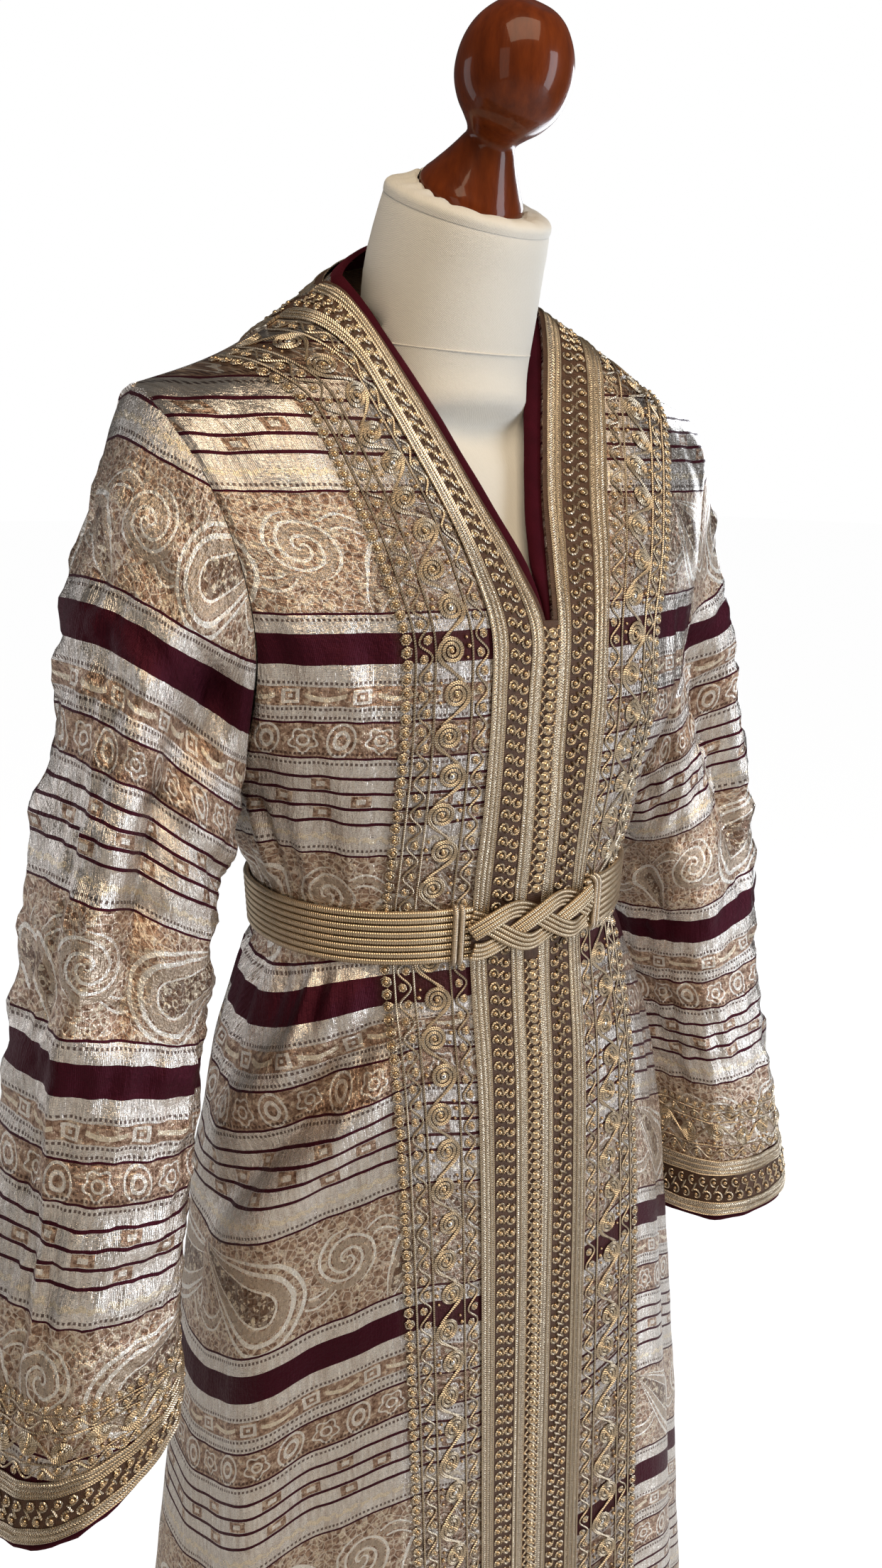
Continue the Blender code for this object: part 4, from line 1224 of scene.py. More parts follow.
class Placket:
    """Trim and embroidery up one front edge, from the hem to the shoulder."""

    def __init__(self, panel: FrontPanel) -> None:
        """Keep the panel that it is sewn to."""
        self.panel = panel
        self.side = panel.side
        self.strip = Strip("placket_" + self.side.word, panel.locate, 0.003,
                           float(panel.distance[-1]) - 0.002)

    def build(self, kit: "Materials") -> dict[str, bpy.types.Object]:
        """Make the band, its loops and the scroll embroidery.

        Args:
            kit: the materials.

        Returns:
            The pieces by kind.
        """
        profile = TrimProfile(CENTRE_GAP, BRAID_START, LOOPS_START, LOOPS_END, TRIM_WIDTH)
        along = np.linspace(0.0, self.panel.distance[-1], 330)
        band = trim_shell(self.strip.name + "_band", self.panel.locate, profile.across, profile.heights,
                          along, GAP, [kit.braid, kit.loop_ground], profile.slots)
        trim = Embroidery(self.strip, GAP + 0.0009)
        trim.loops(LOOPS_START, LOOPS_END - LOOPS_START)
        for across in (BRAID_START, LOOPS_START, LOOPS_END, TRIM_WIDTH + 0.0004):
            trim.line(across, 0.0007)
        for across in (LOOPS_END + 0.0034, LOOPS_END + 0.0072, BRAID_START + 0.0062):
            trim.line(across, 0.0006, lift=0.0008)
        scrolls = Embroidery(Strip("embroidery_" + self.side.word, self.panel.locate, 0.004,
                                   float(self.panel.distance[-1]) - 0.003), 0.0002)
        scrolls.tendril(0.0575, 0.0042)
        scrolls.line(0.0648, 0.0007)
        scrolls.scrolls(0.0780, 0.0104, Motifs.scroll_pitch, 0.0020)
        scrolls.line(0.0908, 0.0007)
        scrolls.tendril(0.0974, 0.0042)
        scrolls.line(0.1042, 0.0007)
        scrolls.rosettes(0.1100, 0.0042, Motifs.rosette_pitch)
        return {
            "band": band,
            "cords": trim.piece("loops", trim.cords, kit.fine_cord),
            "beads": trim.piece("beads", trim.beads, kit.bead),
            "scroll_cords": scrolls.piece("cords", scrolls.cords, kit.fine_cord),
            "scroll_beads": scrolls.piece("beads", scrolls.beads, kit.bead),
            "crystals": scrolls.piece("crystals", scrolls.crystals, kit.crystal),
        }


class BackNeck:
    """The trim's course round the back of the neck, from one shoulder to the other."""

    def __init__(self, back: BackPanel) -> None:
        """Keep the back and the length of the trim's inner edge."""
        self.back = back
        self.turn_length = NECK_POINT[0] * math.pi

    @staticmethod
    def surface(distance: Array, turn: Array) -> Array:
        """Point on the back at a distance from the neck's edge, turned from the shoulder."""
        side = np.where(turn <= math.pi / 2, 1.0, -1.0)
        own = np.where(turn <= math.pi / 2, turn, math.pi - turn)
        x = (NECK_POINT[0] + distance) * np.cos(own)
        z = shoulder_z(x, True) - distance * np.sin(own)
        y = chest_y(x, z, True)
        return np.stack([x * side, y, z], axis=-1)

    @staticmethod
    def edge_shift(turn: Array) -> Array:
        """How far the trim closes up to the neck's edge between the shoulders."""
        return (CENTRE_GAP - 0.0003) * np.sqrt(np.maximum(np.sin(turn), 0.0))

    def locate(self, across: Array, along: Array) -> tuple[Array, Array]:
        """Place flat points round the neck; along runs from the left shoulder to the right one."""
        turn = np.asarray(along, float) / self.turn_length * math.pi
        distance = np.asarray(across, float) - self.edge_shift(turn)
        here = self.surface(distance, turn)
        ahead = self.surface(distance, turn + 0.01) - self.surface(distance, turn - 0.01)
        out = self.surface(distance + 0.001, turn) - self.surface(distance - 0.0005, turn)
        normal = unit(np.cross(ahead, out))
        normal = np.where(np.sum(normal * [0.0, 1.0, 0.6], axis=-1, keepdims=True) < 0, -normal, normal)
        normal = ridge_blend(here, normal)
        rise = 0.0012 * np.sin(np.clip(turn, 0.0, math.pi))
        return here + normal * rise[..., None], normal

    def build(self, kit: "Materials") -> dict[str, bpy.types.Object]:
        """Make the band round the back of the neck with its loops."""
        profile = TrimProfile(CENTRE_GAP, BRAID_START, LOOPS_START, LOOPS_END, TRIM_WIDTH)
        along = np.linspace(0.0, self.turn_length, 90)
        band = trim_shell("neck_back_band", self.locate, profile.across, profile.heights, along, GAP,
                          [kit.braid, kit.loop_ground], profile.slots)
        strip = Strip("neck_back", self.locate, 0.002, self.turn_length - 0.002)
        trim = Embroidery(strip, GAP + 0.0009)
        trim.loops(LOOPS_START, LOOPS_END - LOOPS_START)
        for across in (BRAID_START, LOOPS_START, LOOPS_END, TRIM_WIDTH + 0.0004):
            trim.line(across, 0.0007)
        for across in (LOOPS_END + 0.0034, LOOPS_END + 0.0072, BRAID_START + 0.0062):
            trim.line(across, 0.0006, lift=0.0008)
        return {"band": band, "cords": trim.piece("loops", trim.cords, kit.fine_cord),
                "beads": trim.piece("beads", trim.beads, kit.bead)}


class Cuff:
    """Trim and embroidery round one sleeve hem, and the facing under it."""

    band_width: float = 0.046

    def __init__(self, sleeve: Sleeve) -> None:
        """Keep the sleeve that it is sewn to."""
        self.sleeve = sleeve
        self.side = sleeve.side

    def build(self, kit: "Materials") -> dict[str, bpy.types.Object]:
        """Make the band, its loops, the scroll embroidery over it and the velvet under it."""
        girth = float(self.sleeve.round[-1])
        name = "cuff_" + self.side.word
        profile = TrimProfile(0.0005, 0.0010, 0.0110, 0.0345, self.band_width)
        along = np.linspace(0.0, girth, 121)[:-1]
        band = trim_shell(name + "_band", self.sleeve.locate, profile.across, profile.heights, along, GAP,
                          [kit.braid, kit.loop_ground], profile.slots, closed=True)
        trim = Embroidery(Strip(name, self.sleeve.locate, 0.0, girth), GAP + 0.0009)
        trim.loops(0.0110, 0.0235)
        for across in (0.0012, 0.0110, 0.0345, self.band_width):
            trim.line(across, 0.0007, 0.004)
        for across in (0.0060, 0.0380, 0.0420):
            trim.line(across, 0.0006, 0.004, lift=0.0008)
        field = Embroidery(Strip(name + "_embroidery", self.sleeve.locate, 0.0, girth), 0.0002)
        field.tendril(0.0525, 0.0038)
        field.line(0.0586, 0.0006, 0.004)
        field.scrolls(0.0705, 0.0092, 0.0270, 0.0018)
        field.line(0.0822, 0.0006, 0.004)
        field.tendril(0.0885, 0.0038)
        field.line(0.0948, 0.0006, 0.004)
        field.rosettes(0.0998, 0.0033, Motifs.rosette_pitch)
        return {
            "band": band,
            "cords": trim.piece("loops", trim.cords, kit.fine_cord),
            "beads": trim.piece("beads", trim.beads, kit.bead),
            "field_cords": field.piece("cords", field.cords, kit.fine_cord),
            "field_beads": field.piece("beads", field.beads, kit.bead),
            "crystals": field.piece("crystals", field.crystals, kit.crystal),
            "facing": self.facing(kit),
        }

    def facing(self, kit: "Materials") -> bpy.types.Object:
        """A rolled velvet edge that shows below the sleeve's hem."""
        points, normals = self.sleeve.cloth.points, self.sleeve.cloth.normals[-1]
        down = unit(points[-1] - points[-4])
        profile = ((-0.012, 0.0026), (-0.002, 0.0026), (0.0035, 0.0024), (0.0062, 0.0029), (0.0068, 0.0036))
        outer = np.array([points[-1] + down * s - normals * d for s, d in profile])
        inner = outer - normals * 0.0014
        run = self.sleeve.round
        flat = np.stack(np.broadcast_arrays(run[None], np.array([p[0] for p in profile])[:, None]), -1)
        return shell(f"cuff_{self.side.word}_facing", outer, inner, flat, [kit.velvet], closed=True)


class NeckFacing:
    """The velvet that shows inside the neck opening, from the V point round the neck."""

    stations: tuple[tuple[float, float], ...] = (
        (-0.0120, 0.0036), (-0.0123, 0.0024), (-0.0112, 0.0012), (-0.0086, 0.0004), (-0.0048, 0.0004),
        (-0.0016, 0.0014), (-0.0004, 0.0026), (0.0050, 0.0027))

    def __init__(self, fronts: dict[Side, FrontPanel]) -> None:
        """Join the edges of both fronts and the back of the neck into one course.

        Args:
            fronts: both fronts.
        """
        edges, aways, normals = [], [], []
        left = fronts[Side.LEFT]
        first = int(np.searchsorted(left.cloth.points[:, 0, 2], V_POINT_Z - 0.030))
        for side in (Side.LEFT, Side.RIGHT):
            cloth = fronts[side].cloth
            edge = cloth.points[first:, 0]
            away = unit(cloth.points[first:, 3] - cloth.points[first:, 0])
            own = cloth.normals[first:, 1]
            if side is Side.RIGHT:
                edge, away, own = edge[::-1], away[::-1], own[::-1]
            edges.append(edge)
            aways.append(away)
            normals.append(own)
        turn = np.linspace(0.0, math.pi, 61)[2:-2]
        start = CENTRE_GAP - BackNeck.edge_shift(turn)
        near, far = BackNeck.surface(start, turn), BackNeck.surface(start + 0.01, turn)
        away = unit(far - near)
        own = unit(np.cross(np.gradient(near, axis=0), away))
        own *= np.sign(own[:, 2:3] + own[:, 1:2])
        edge = np.vstack([edges[0], near, edges[1]])
        away = np.vstack([aways[0], away, aways[1]])
        own = np.vstack([normals[0], own, normals[1]])
        for _ in range(6):
            edge[1:-1] = (edge[:-2] + 2 * edge[1:-1] + edge[2:]) / 4
            away[1:-1] = unit(away[:-2] + 2 * away[1:-1] + away[2:])
            own[1:-1] = unit(own[:-2] + 2 * own[1:-1] + own[2:])
        self.edge, self.away, self.normal = edge, away, own

    def build(self, kit: "Materials") -> bpy.types.Object:
        """A band with a rolled inner edge, a little uneven as velvet is."""
        run = run_along(self.edge)
        wander = 0.0007 * ripple(run * 18.0, np.zeros(len(run)), 3)
        room = np.clip(np.abs(self.edge[:, 0]) / 0.0135, 0.16, 1.0)
        room = np.where(self.edge[:, 1] < 0.0, room, 1.0)
        shifts = [(s + wander * (s < -0.005)) * (room if s < 0.0 else 1.0) for s, _ in self.stations]
        outer = np.stack([self.edge + self.away * shift[:, None] - self.normal * d
                          for shift, (_, d) in zip(shifts, self.stations)], axis=1)
        inner = outer - self.normal[:, None] * 0.0012
        across = np.array([s for s, _ in self.stations])
        flat = np.stack(np.broadcast_arrays(across[None, :], run[:, None]), -1)
        return shell("neck_facing_velvet", outer, inner, flat, [kit.velvet])


class ButtonColumn:
    """Small knotted buttons down the centre, with the loops that hold them."""

    pitch: float = 0.0082

    def __init__(self, fronts: dict[Side, FrontPanel]) -> None:
        """Read the centre line from the left front's edge."""
        points = fronts[Side.LEFT].cloth.points[:, 0]
        self.heights = points[:, 2]
        self.depths = np.minimum(points[:, 1], fronts[Side.RIGHT].cloth.points[:, 0, 1])

    def locate(self, across: Array, height: Array) -> tuple[Array, Array]:
        """Place points on the centre line; across is signed x and height is z."""
        y = np.interp(height, self.heights, self.depths) - (GAP + 0.0010)
        point = np.stack(np.broadcast_arrays(across, y, height), -1)
        normal = np.broadcast_to([0.0, -1.0, 0.0], point.shape)
        return point, normal

    def build(self, kit: "Materials") -> dict[str, bpy.types.Object]:
        """Make the ground, the knots and their loops."""
        height = np.r_[np.linspace(HEM_Z + 0.001, V_POINT_Z + 0.004, 220)]
        across = np.array([-0.0068, -0.0064, -0.0020, 0.0020, 0.0064, 0.0068])
        rise = np.array([0.0002, 0.0007, 0.0009, 0.0009, 0.0007, 0.0002])
        ground = trim_shell("button_ground", self.locate, across, rise, height, 0.0001, [kit.loop_ground], 0)
        at = np.arange(HEM_Z + 0.010, V_POINT_Z - 0.002, self.pitch)
        at = at[(at < BELT_LOW_Z - 0.005) | (at > BELT_HIGH_Z + 0.004)]
        feet, normal = self.locate(np.zeros(len(at)), at)
        parts = [domes(feet + normal * 0.0006, normal, 0.0031, 9, 0.95)]
        for side in (-1.0, 1.0):
            feet, normal = self.locate(np.full(len(at), side * 0.0062), at + 0.0036)
            parts.append(domes(feet + normal * 0.0004, normal, 0.0013, 6))
        knots = joined(parts)
        turn = np.linspace(0.0, math.pi, 8)
        cords = []
        for side in (-1.0, 1.0):
            x = side * (0.0070 - 0.0036 * np.sin(turn))
            z = 0.0030 * np.cos(turn)
            flat_x = np.broadcast_to(x, (len(at), len(turn)))
            points, normals = self.locate(flat_x, at[:, None] + z)
            cords.append(tubes(points, normals, 0.0007, 4, 0.0014))
        wraps = []
        for k in range(2):
            circle = np.linspace(0.0, math.tau, 9)[:-1] + k
            x = 0.0030 * np.cos(circle)
            z = 0.0030 * np.sin(circle)
            points, normals = self.locate(np.broadcast_to(x, (len(at), 8)), at[:, None] + z)
            wraps.append(tubes(points, normals, 0.0007, 4, 0.0016 + 0.0013 * k, closed=True))
        points, made = joined([*cords, *wraps])
        loops = put_mesh("button_loops", points, made, [kit.fine_cord], 70.0)
        points, made = knots
        return {"ground": ground, "knots": put_mesh("button_knots", points, made, [kit.bead], 70.0),
                "loops": loops}


class Belt:
    """Corded belt: eight cords side by side, a plait of three strands and two keepers."""

    cords: int = 8
    strap_radius: float = 0.00240
    knot_half: float = 0.0535
    keeper_station: float = 0.061
    plait_period: float = 0.122
    plait_reach: float = 0.0132
    plait_radius: float = 0.00165

    def ring(self, count: int) -> tuple[Array, Array]:
        """Points of the waist at both belt edges, from the front round to the front."""
        rings = []
        for z in (BELT_LOW_Z, BELT_HIGH_Z):
            front, back = skirt_row(z, False), skirt_row(z, True)
            half = np.vstack([front, back[-2::-1]])
            whole = np.vstack([half, (half * [-1.0, 1.0, 1.0])[-2::-1]])
            run = run_along(whole)
            at = np.linspace(self.knot_half - 0.004, run[-1] - self.knot_half + 0.004, count)
            rings.append(at_lengths(whole, at))
        return rings[0], rings[1]

    @staticmethod
    def front_point(x: Array, z: Array) -> tuple[Array, Array]:
        """Point and normal at signed x on the straight drop between the belt's edges."""
        share = np.clip((z - BELT_LOW_Z) / (BELT_HIGH_Z - BELT_LOW_Z), 0.0, 1.0)
        low, high = skirt_row(BELT_LOW_Z, False), skirt_row(BELT_HIGH_Z, False)

        def depth(at: Array) -> Array:
            return ((1.0 - share) * np.interp(at, low[:, 0], low[:, 1])
                    + share * np.interp(at, high[:, 0], high[:, 1]))

        y = depth(np.abs(x))
        slope = (depth(np.abs(x) + 0.002) - y) / 0.002
        normal = unit(np.stack(np.broadcast_arrays(np.sign(x) * slope, -1.0, 0.0), -1))
        return np.stack(np.broadcast_arrays(x, y, z), -1), normal

    def strap(self, kit: "Materials") -> bpy.types.Object:
        """The eight cords round the waist."""
        low, high = self.ring(300)
        tangent = unit(np.gradient(low, axis=0))
        up = unit(high - low)
        normal = unit(np.cross(tangent, up))
        share = (np.arange(self.cords) + 0.5) / self.cords
        paths = low[None] * (1 - share[:, None, None]) + high[None] * share[:, None, None]
        sag = 0.0004 * ripple(np.linspace(0, 9, 300), np.zeros(300), 8)
        paths = paths + up[None] * sag[None, :, None]
        normals = np.broadcast_to(normal, paths.shape)
        points, made = tubes(paths, normals, self.strap_radius, 8, GAP + self.strap_radius)
        return put_mesh("belt_cords", points, made, [kit.belt_cord], 70.0)

    def plait(self, kit: "Materials") -> bpy.types.Object:
        """Three strands of four cords that cross in turn, over and under.

        A strand's height on the belt is reach · sin(phase) and its lift off the
        belt goes with sin(2 · phase), so each strand passes over the next.
        """
        middle = (BELT_LOW_Z + BELT_HIGH_Z) / 2
        x = np.linspace(-self.knot_half + 0.001, self.knot_half - 0.001, 150)
        rise = 0.0034
        paths, normals, lifts = [], [], []
        for strand in range(3):
            phase = math.tau * (x + 0.012) / self.plait_period + strand * math.tau / 3.0
            offset = self.plait_reach * np.sin(phase)
            slope = self.plait_reach * math.tau / self.plait_period * np.cos(phase)
            size = np.hypot(1.0, slope)
            lift = 0.0036 + 0.0028 * np.sin(2.0 * phase)
            for k in (-1.5, -0.5, 0.5, 1.5):
                gap = k * 1.96 * self.plait_radius
                flat_x = x - gap * slope / size
                flat_z = middle + offset + gap / size
                point, normal = self.front_point(np.clip(flat_x, -0.0560, 0.0560), flat_z)
                paths.append(point)
                normals.append(normal)
                lifts.append(rise + lift + (0.0005 if abs(k) < 1.0 else 0.0))
        points, made = tubes(np.array(paths), np.array(normals), self.plait_radius, 8, np.array(lifts))
        return put_mesh("belt_plait", points, made, [kit.belt_cord], 70.0)

    def backing(self, kit: "Materials") -> bpy.types.Object:
        """The flat cloth behind the plait."""
        x = np.linspace(-self.knot_half + 0.002, self.knot_half - 0.002, 60)
        middle = (BELT_LOW_Z + BELT_HIGH_Z) / 2
        t = np.linspace(-0.0125, 0.0125, 7)
        grid_x, grid_t = np.meshgrid(x, t)
        point, normal = self.front_point(grid_x, middle + grid_t)
        outer, inner = point + normal * 0.0050, point + normal * 0.0032
        return shell("belt_backing", outer, inner, np.stack([grid_x, grid_t], -1), [kit.loop_ground])

    def keeper(self, side: Side, kit: "Materials") -> bpy.types.Object:
        """Two wrapped cords that stand over the strap's end and turn in at both ends."""
        rise = GAP + 2 * self.strap_radius + 0.0017
        reach = 0.5 * (BELT_HIGH_Z - BELT_LOW_Z) + 0.0010
        turn = np.linspace(-1.0, 1.0, 41)
        paths, normals = [], []
        for k in (-1.0, 1.0):
            x = np.full(turn.shape, side.value * (self.keeper_station + k * 0.0022))
            if side is Side.LEFT:
                x = x - 0.0045 * np.maximum(turn - 0.2, 0.0) ** 2
            z = 0.5 * (BELT_LOW_Z + BELT_HIGH_Z) + reach * np.sin(turn * math.pi / 2)
            point, normal = self.front_point(x, z)
            tuck = rise - 0.0042 * np.maximum(np.abs(turn) - 0.55, 0.0) ** 2 / 0.2
            paths.append(point + normal * tuck[:, None])
            normals.append(normal)
        points, made = tubes(np.array(paths), np.array(normals), 0.00195, 10)
        return put_mesh("belt_keeper_cords_" + side.word, points, made, [kit.wrapped], 70.0)


class DressForm:
    """Limbless torso and neck in jersey, with a turned finial and a stand."""

    sections = np.array([
        (0.790, 0.150, 0.104, 0.118),
        (0.860, 0.158, 0.110, 0.122),
        (0.940, 0.152, 0.106, 0.116),
        (1.010, 0.136, 0.100, 0.098),
        (1.057, 0.128, 0.098, 0.088),
        (1.120, 0.142, 0.104, 0.098),
        (1.200, 0.168, 0.112, 0.108),
    ])
    inset: float = 0.0112
    drop: float = 0.0120
    neck_tilt: float = math.radians(23.6)
    neck_top: tuple[float, float, float] = (0.0, -0.029, 1.538)
    neck_radius: float = 0.0565
    finial_tilt: float = math.radians(34.0)
    finial_profile = np.array([
        (0.1215, 0.0002), (0.1210, 0.0130), (0.1180, 0.0195), (0.1105, 0.0275),
        (0.0985, 0.0345), (0.0835, 0.0372), (0.0690, 0.0350), (0.0580, 0.0288),
        (0.0500, 0.0212), (0.0450, 0.0172), (0.0422, 0.0164), (0.0385, 0.0182),
        (0.0280, 0.0240), (0.0170, 0.0310), (0.0085, 0.0362), (0.0050, 0.0366),
        (0.0030, 0.0350), (0.0030, 0.0345), (0.0030, 0.0002),
    ])
    finial_seat: float = 0.0024
    pole_radius: float = 0.016
    pole_foot_z: float = 0.060
    base_profile = np.array([
        (0.0595, 0.0002), (0.0595, 0.0300), (0.0540, 0.0360), (0.0460, 0.0400),
        (0.0400, 0.0620), (0.0330, 0.1150), (0.0270, 0.1500), (0.0210, 0.1650),
        (0.0100, 0.1700), (0.0020, 0.1690), (0.0000, 0.1660), (0.0000, 0.1655), (0.0000, 0.0002),
    ])

    def face(self, x: Array, z: float, back: bool) -> Array:
        """Depth position of the form behind the cloth at x and height z."""
        ridge = chest_y(x, shoulder_z(x, back), back)
        cloth = chest_y(x, np.full(x.shape, z + self.drop), back)
        depth = self.inset + 0.13 * max(z - 1.385, 0.0)
        return np.maximum(cloth - depth, ridge - 0.002) if back else np.minimum(cloth + depth, ridge + 0.002)

    def reach(self, z: float) -> float:
        """Half width of the form's shoulders at height z."""
        xs = np.linspace(NECK_POINT[0], SHOULDER_TIP[0] - 0.008, 60)
        tops = shoulder_z(xs, False) - self.drop - 0.008 * (1.0 - seam_share(xs))
        limit = float(np.interp(z, tops[::-1], xs[::-1], left=xs[-1], right=0.0))
        heights = UNDERARM_Z + ARMHOLE[:, 0] * (SHOULDER_TIP[2] - UNDERARM_Z)
        half = float(cubic(z, heights, ARMHOLE[:, 1])) - 0.010
        return min(limit, half) if z < tops[0] - 0.018 else 0.0

    def ring(self, z: float, count: int) -> Array:
        """Level section of the torso, by direction from its axis.

        Below the chest it is a superellipse; above, each direction runs outwards
        until it comes to the cloth less the inset.
        """
        angle = np.linspace(0.0, math.tau, count, endpoint=False)
        c, s = np.cos(angle), np.sin(angle)
        if z <= self.sections[-1, 0]:
            half, ahead, behind = [float(cubic(z, self.sections[:, 0], self.sections[:, k]))
                                   for k in (1, 2, 3)]
            x = half * np.sign(c) * np.abs(c) ** 0.92
            y = np.where(s > 0, behind, ahead) * np.sign(s) * np.abs(s) ** 0.92
            return np.stack([x, y, np.full(count, z)], 1)
        lean = max((z - 1.430) / (self.neck_top[2] - 1.430), 0.0)
        centre = 0.006 + (self.neck_top[1] - 0.006) * lean
        radius = 0.0615 + 0.11 * max(1.480 - z, 0.0) ** 1.3
        run = np.linspace(radius if z > 1.40 else 0.03, 0.26, 500)
        x, y = run * c[:, None], centre + run * s[:, None]
        inside = ((np.abs(x) < self.reach(z)) & (y > self.face(np.abs(x), z, False))
                  & (y < self.face(np.abs(x), z, True)))
        last = np.where(inside[:, 0], run[np.argmin(inside, axis=1)], run[0])
        return np.stack([last * c, centre + last * s, np.full(count, z)], 1)

    def axis_point(self, distance: float) -> Array:
        """Point on the neck's leaning axis above its rim."""
        return np.array([0.0, self.neck_top[1] - distance * math.sin(self.neck_tilt),
                         self.neck_top[2] + distance * math.cos(self.neck_tilt)])

    def tilted_ring(self, distance: float, tilt: float, radius: Array | float, count: int) -> Array:
        """A ring across the neck's axis, leaning forward by the tilt."""
        angle = np.linspace(0.0, math.tau, count, endpoint=False)
        across = np.outer(np.cos(angle), [1.0, 0.0, 0.0])
        ahead = np.outer(np.sin(angle), [0.0, math.cos(tilt), math.sin(tilt)])
        return self.axis_point(distance) + np.broadcast_to(radius, count)[:, None] * (across + ahead * 1.04)

    def torso(self, kit: "Materials") -> bpy.types.Object:
        """Torso and neck as one smooth skin, closed below."""
        count = 96
        heights = (0.790, 0.860, 0.930, 1.000, 1.057, 1.120, 1.180, 1.240, 1.290, 1.330,
                   1.365, 1.392, 1.412, 1.427, 1.438, 1.450, 1.466)
        rings = [self.ring(z, count) for z in heights]
        neck = ((-0.038, 0.45, 0.0605), (-0.018, 0.80, 0.0585), (-0.003, 1.0, self.neck_radius))
        for distance, share, radius in neck:
            rings.append(self.tilted_ring(distance, share * self.neck_tilt, radius, count))
        grid = refined(np.array(rings), 110, 72)[0]
        for _ in range(2):
            grid = (np.roll(grid, 1, 1) + 2 * grid + np.roll(grid, -1, 1)) / 4
        low = grid[:1] * [0.86, 0.86, 1.0] - [0.0, 0.0, 0.012]
        closing = np.broadcast_to(low.mean(axis=1, keepdims=True), low.shape) * 0.99 + low * 0.01
        rim = np.array([self.tilted_ring(0.0015, self.neck_tilt, 0.0535, count),
                        self.tilted_ring(0.0005, self.neck_tilt, 0.0300, count)])
        grid = np.concatenate([closing, low, grid, rim])
        angle = np.linspace(0.0, 1.0, count + 1)
        run = run_along(grid[:, 72])
        flat = np.stack(np.broadcast_arrays(angle[None] * 0.6, run[:, None]), -1)
        points, places = grid_faces(len(grid), count, True)
        made = Finishing()
        made.add(points, flat.reshape(-1, 2)[places])
        made.add(np.arange(count)[None, ::-1], np.zeros((1, count, 2)))
        made.add((len(grid) - 1) * count + np.arange(count)[None], np.zeros((1, count, 2)))
        return put_mesh("form_jersey", grid.reshape(-1, 3), made, [kit.jersey], 80.0)

    def neck_seam(self, kit: "Materials") -> bpy.types.Object:
        """The raised seam where the neck's jersey meets the chest's."""
        count = 96
        ring = self.ring(1.4400, count)
        front = np.clip(-np.sin(np.linspace(0, math.tau, count, endpoint=False)), 0.0, 1.0)
        ring = ring + np.array([0.0, 0.0, 1.0]) * (0.010 * (1 - front))[:, None]
        normal = unit((ring - ring.mean(axis=0)) * [1.0, 1.0, 0.0] + [0.0, 0.0, 0.03])
        points, made = tubes(ring[None], normal[None], 0.0007, 6, 0.0001, closed=True)
        return put_mesh("form_neck_seam", points, made, [kit.jersey], 80.0)

    def neck_cap(self, kit: "Materials") -> bpy.types.Object:
        """The jersey drawn in over the neck's rim, in uneven pleats round the finial."""
        count = 96
        angle = np.linspace(0.0, math.tau, count, endpoint=False)
        pleats = np.abs(np.sin(angle * 9.5 + 1.4 * np.sin(angle * 2 + 0.7))) ** 0.7
        rows = []
        for distance, radius, depth, share in ((-0.0045, 0.0571, 0.0, 1.0), (-0.0015, 0.0570, 0.0002, 1.0),
                                               (0.0010, 0.0556, 0.0004, 1.0), (0.0026, 0.0520, 0.0008, 1.0),
                                               (0.0034, 0.0470, 0.0016, 0.9), (0.0036, 0.0425, 0.0026, 0.6),
                                               (0.0040, 0.0392, 0.0034, 0.3), (0.0030, 0.0368, 0.0030, 0.1)):
            tilt = self.neck_tilt * share + self.finial_tilt * (1 - share)
            ring = self.tilted_ring(distance, tilt, radius + 0.15 * depth * pleats, count)
            upward = np.array([0.0, -math.sin(tilt), math.cos(tilt)])
            rows.append(ring + upward * (depth * (pleats - 0.35))[:, None])
        grid = cubic(np.linspace(0, 7, 29), np.arange(8.0), np.array(rows))
        under = grid - np.array([0.0, -math.sin(self.neck_tilt), math.cos(self.neck_tilt)]) * 0.0008
        flat = np.stack(np.broadcast_arrays(np.linspace(0, 0.36, count + 1)[None],
                                            np.linspace(0, 0.03, 29)[:, None]), -1)
        return shell("form_neck_cap", grid, under, flat, [kit.jersey], closed=True)

    def turned(self, name: str, profile: Array, count: int, fine: int, tilt: float, foot: Array,
               material: bpy.types.Material) -> bpy.types.Object:
        """A turned solid: a smooth profile of height and radius carried round an axis.

        Args:
            name: the piece's name.
            profile: heights and radii, from the top down.
            count: points round it.
            fine: points along the profile.
            tilt: how far the axis leans forward.
            foot: where height 0 is.
            material: its finish.

        Returns:
            The piece.
        """
        run = np.r_[0.0, np.cumsum(np.linalg.norm(np.diff(profile, axis=0), axis=1))]
        if fine:
            even = np.linspace(0.0, run[-1], fine)
            smooth = np.stack([cubic(even, run, profile[:, k]) for k in (0, 1)], 1)
        else:
            smooth = profile
        angle = np.linspace(0.0, math.tau, count, endpoint=False)
        x = smooth[:, 1:2] * np.cos(angle)
        y0 = smooth[:, 1:2] * np.sin(angle)
        z0 = np.broadcast_to(smooth[:, :1], x.shape)
        y = y0 * math.cos(tilt) - z0 * math.sin(tilt)
        z = y0 * math.sin(tilt) + z0 * math.cos(tilt)
        grid = np.stack([x, y, z], -1) + foot
        flat = np.stack(np.broadcast_arrays(np.linspace(0, 1, count + 1)[None], smooth[:, :1]), -1)
        points, places = grid_faces(len(smooth), count, True, flip=True)
        made = Finishing()
        made.add(points, flat.reshape(-1, 2)[places])
        made.add(np.arange(count)[None], np.zeros((1, count, 2)))
        made.add((len(smooth) - 1) * count + np.arange(count)[None, ::-1], np.zeros((1, count, 2)))
        return put_mesh(name, grid.reshape(-1, 3), made, [material], 40.0)

    def finial(self, kit: "Materials") -> bpy.types.Object:
        """The turned ball and cone on the neck."""
        foot = self.axis_point(0.0010) - self.finial_seat * np.array(
            [0.0, -math.sin(self.finial_tilt), math.cos(self.finial_tilt)])
        return self.turned("finial_turned", self.finial_profile, 80, 80, self.finial_tilt, foot, kit.wood)

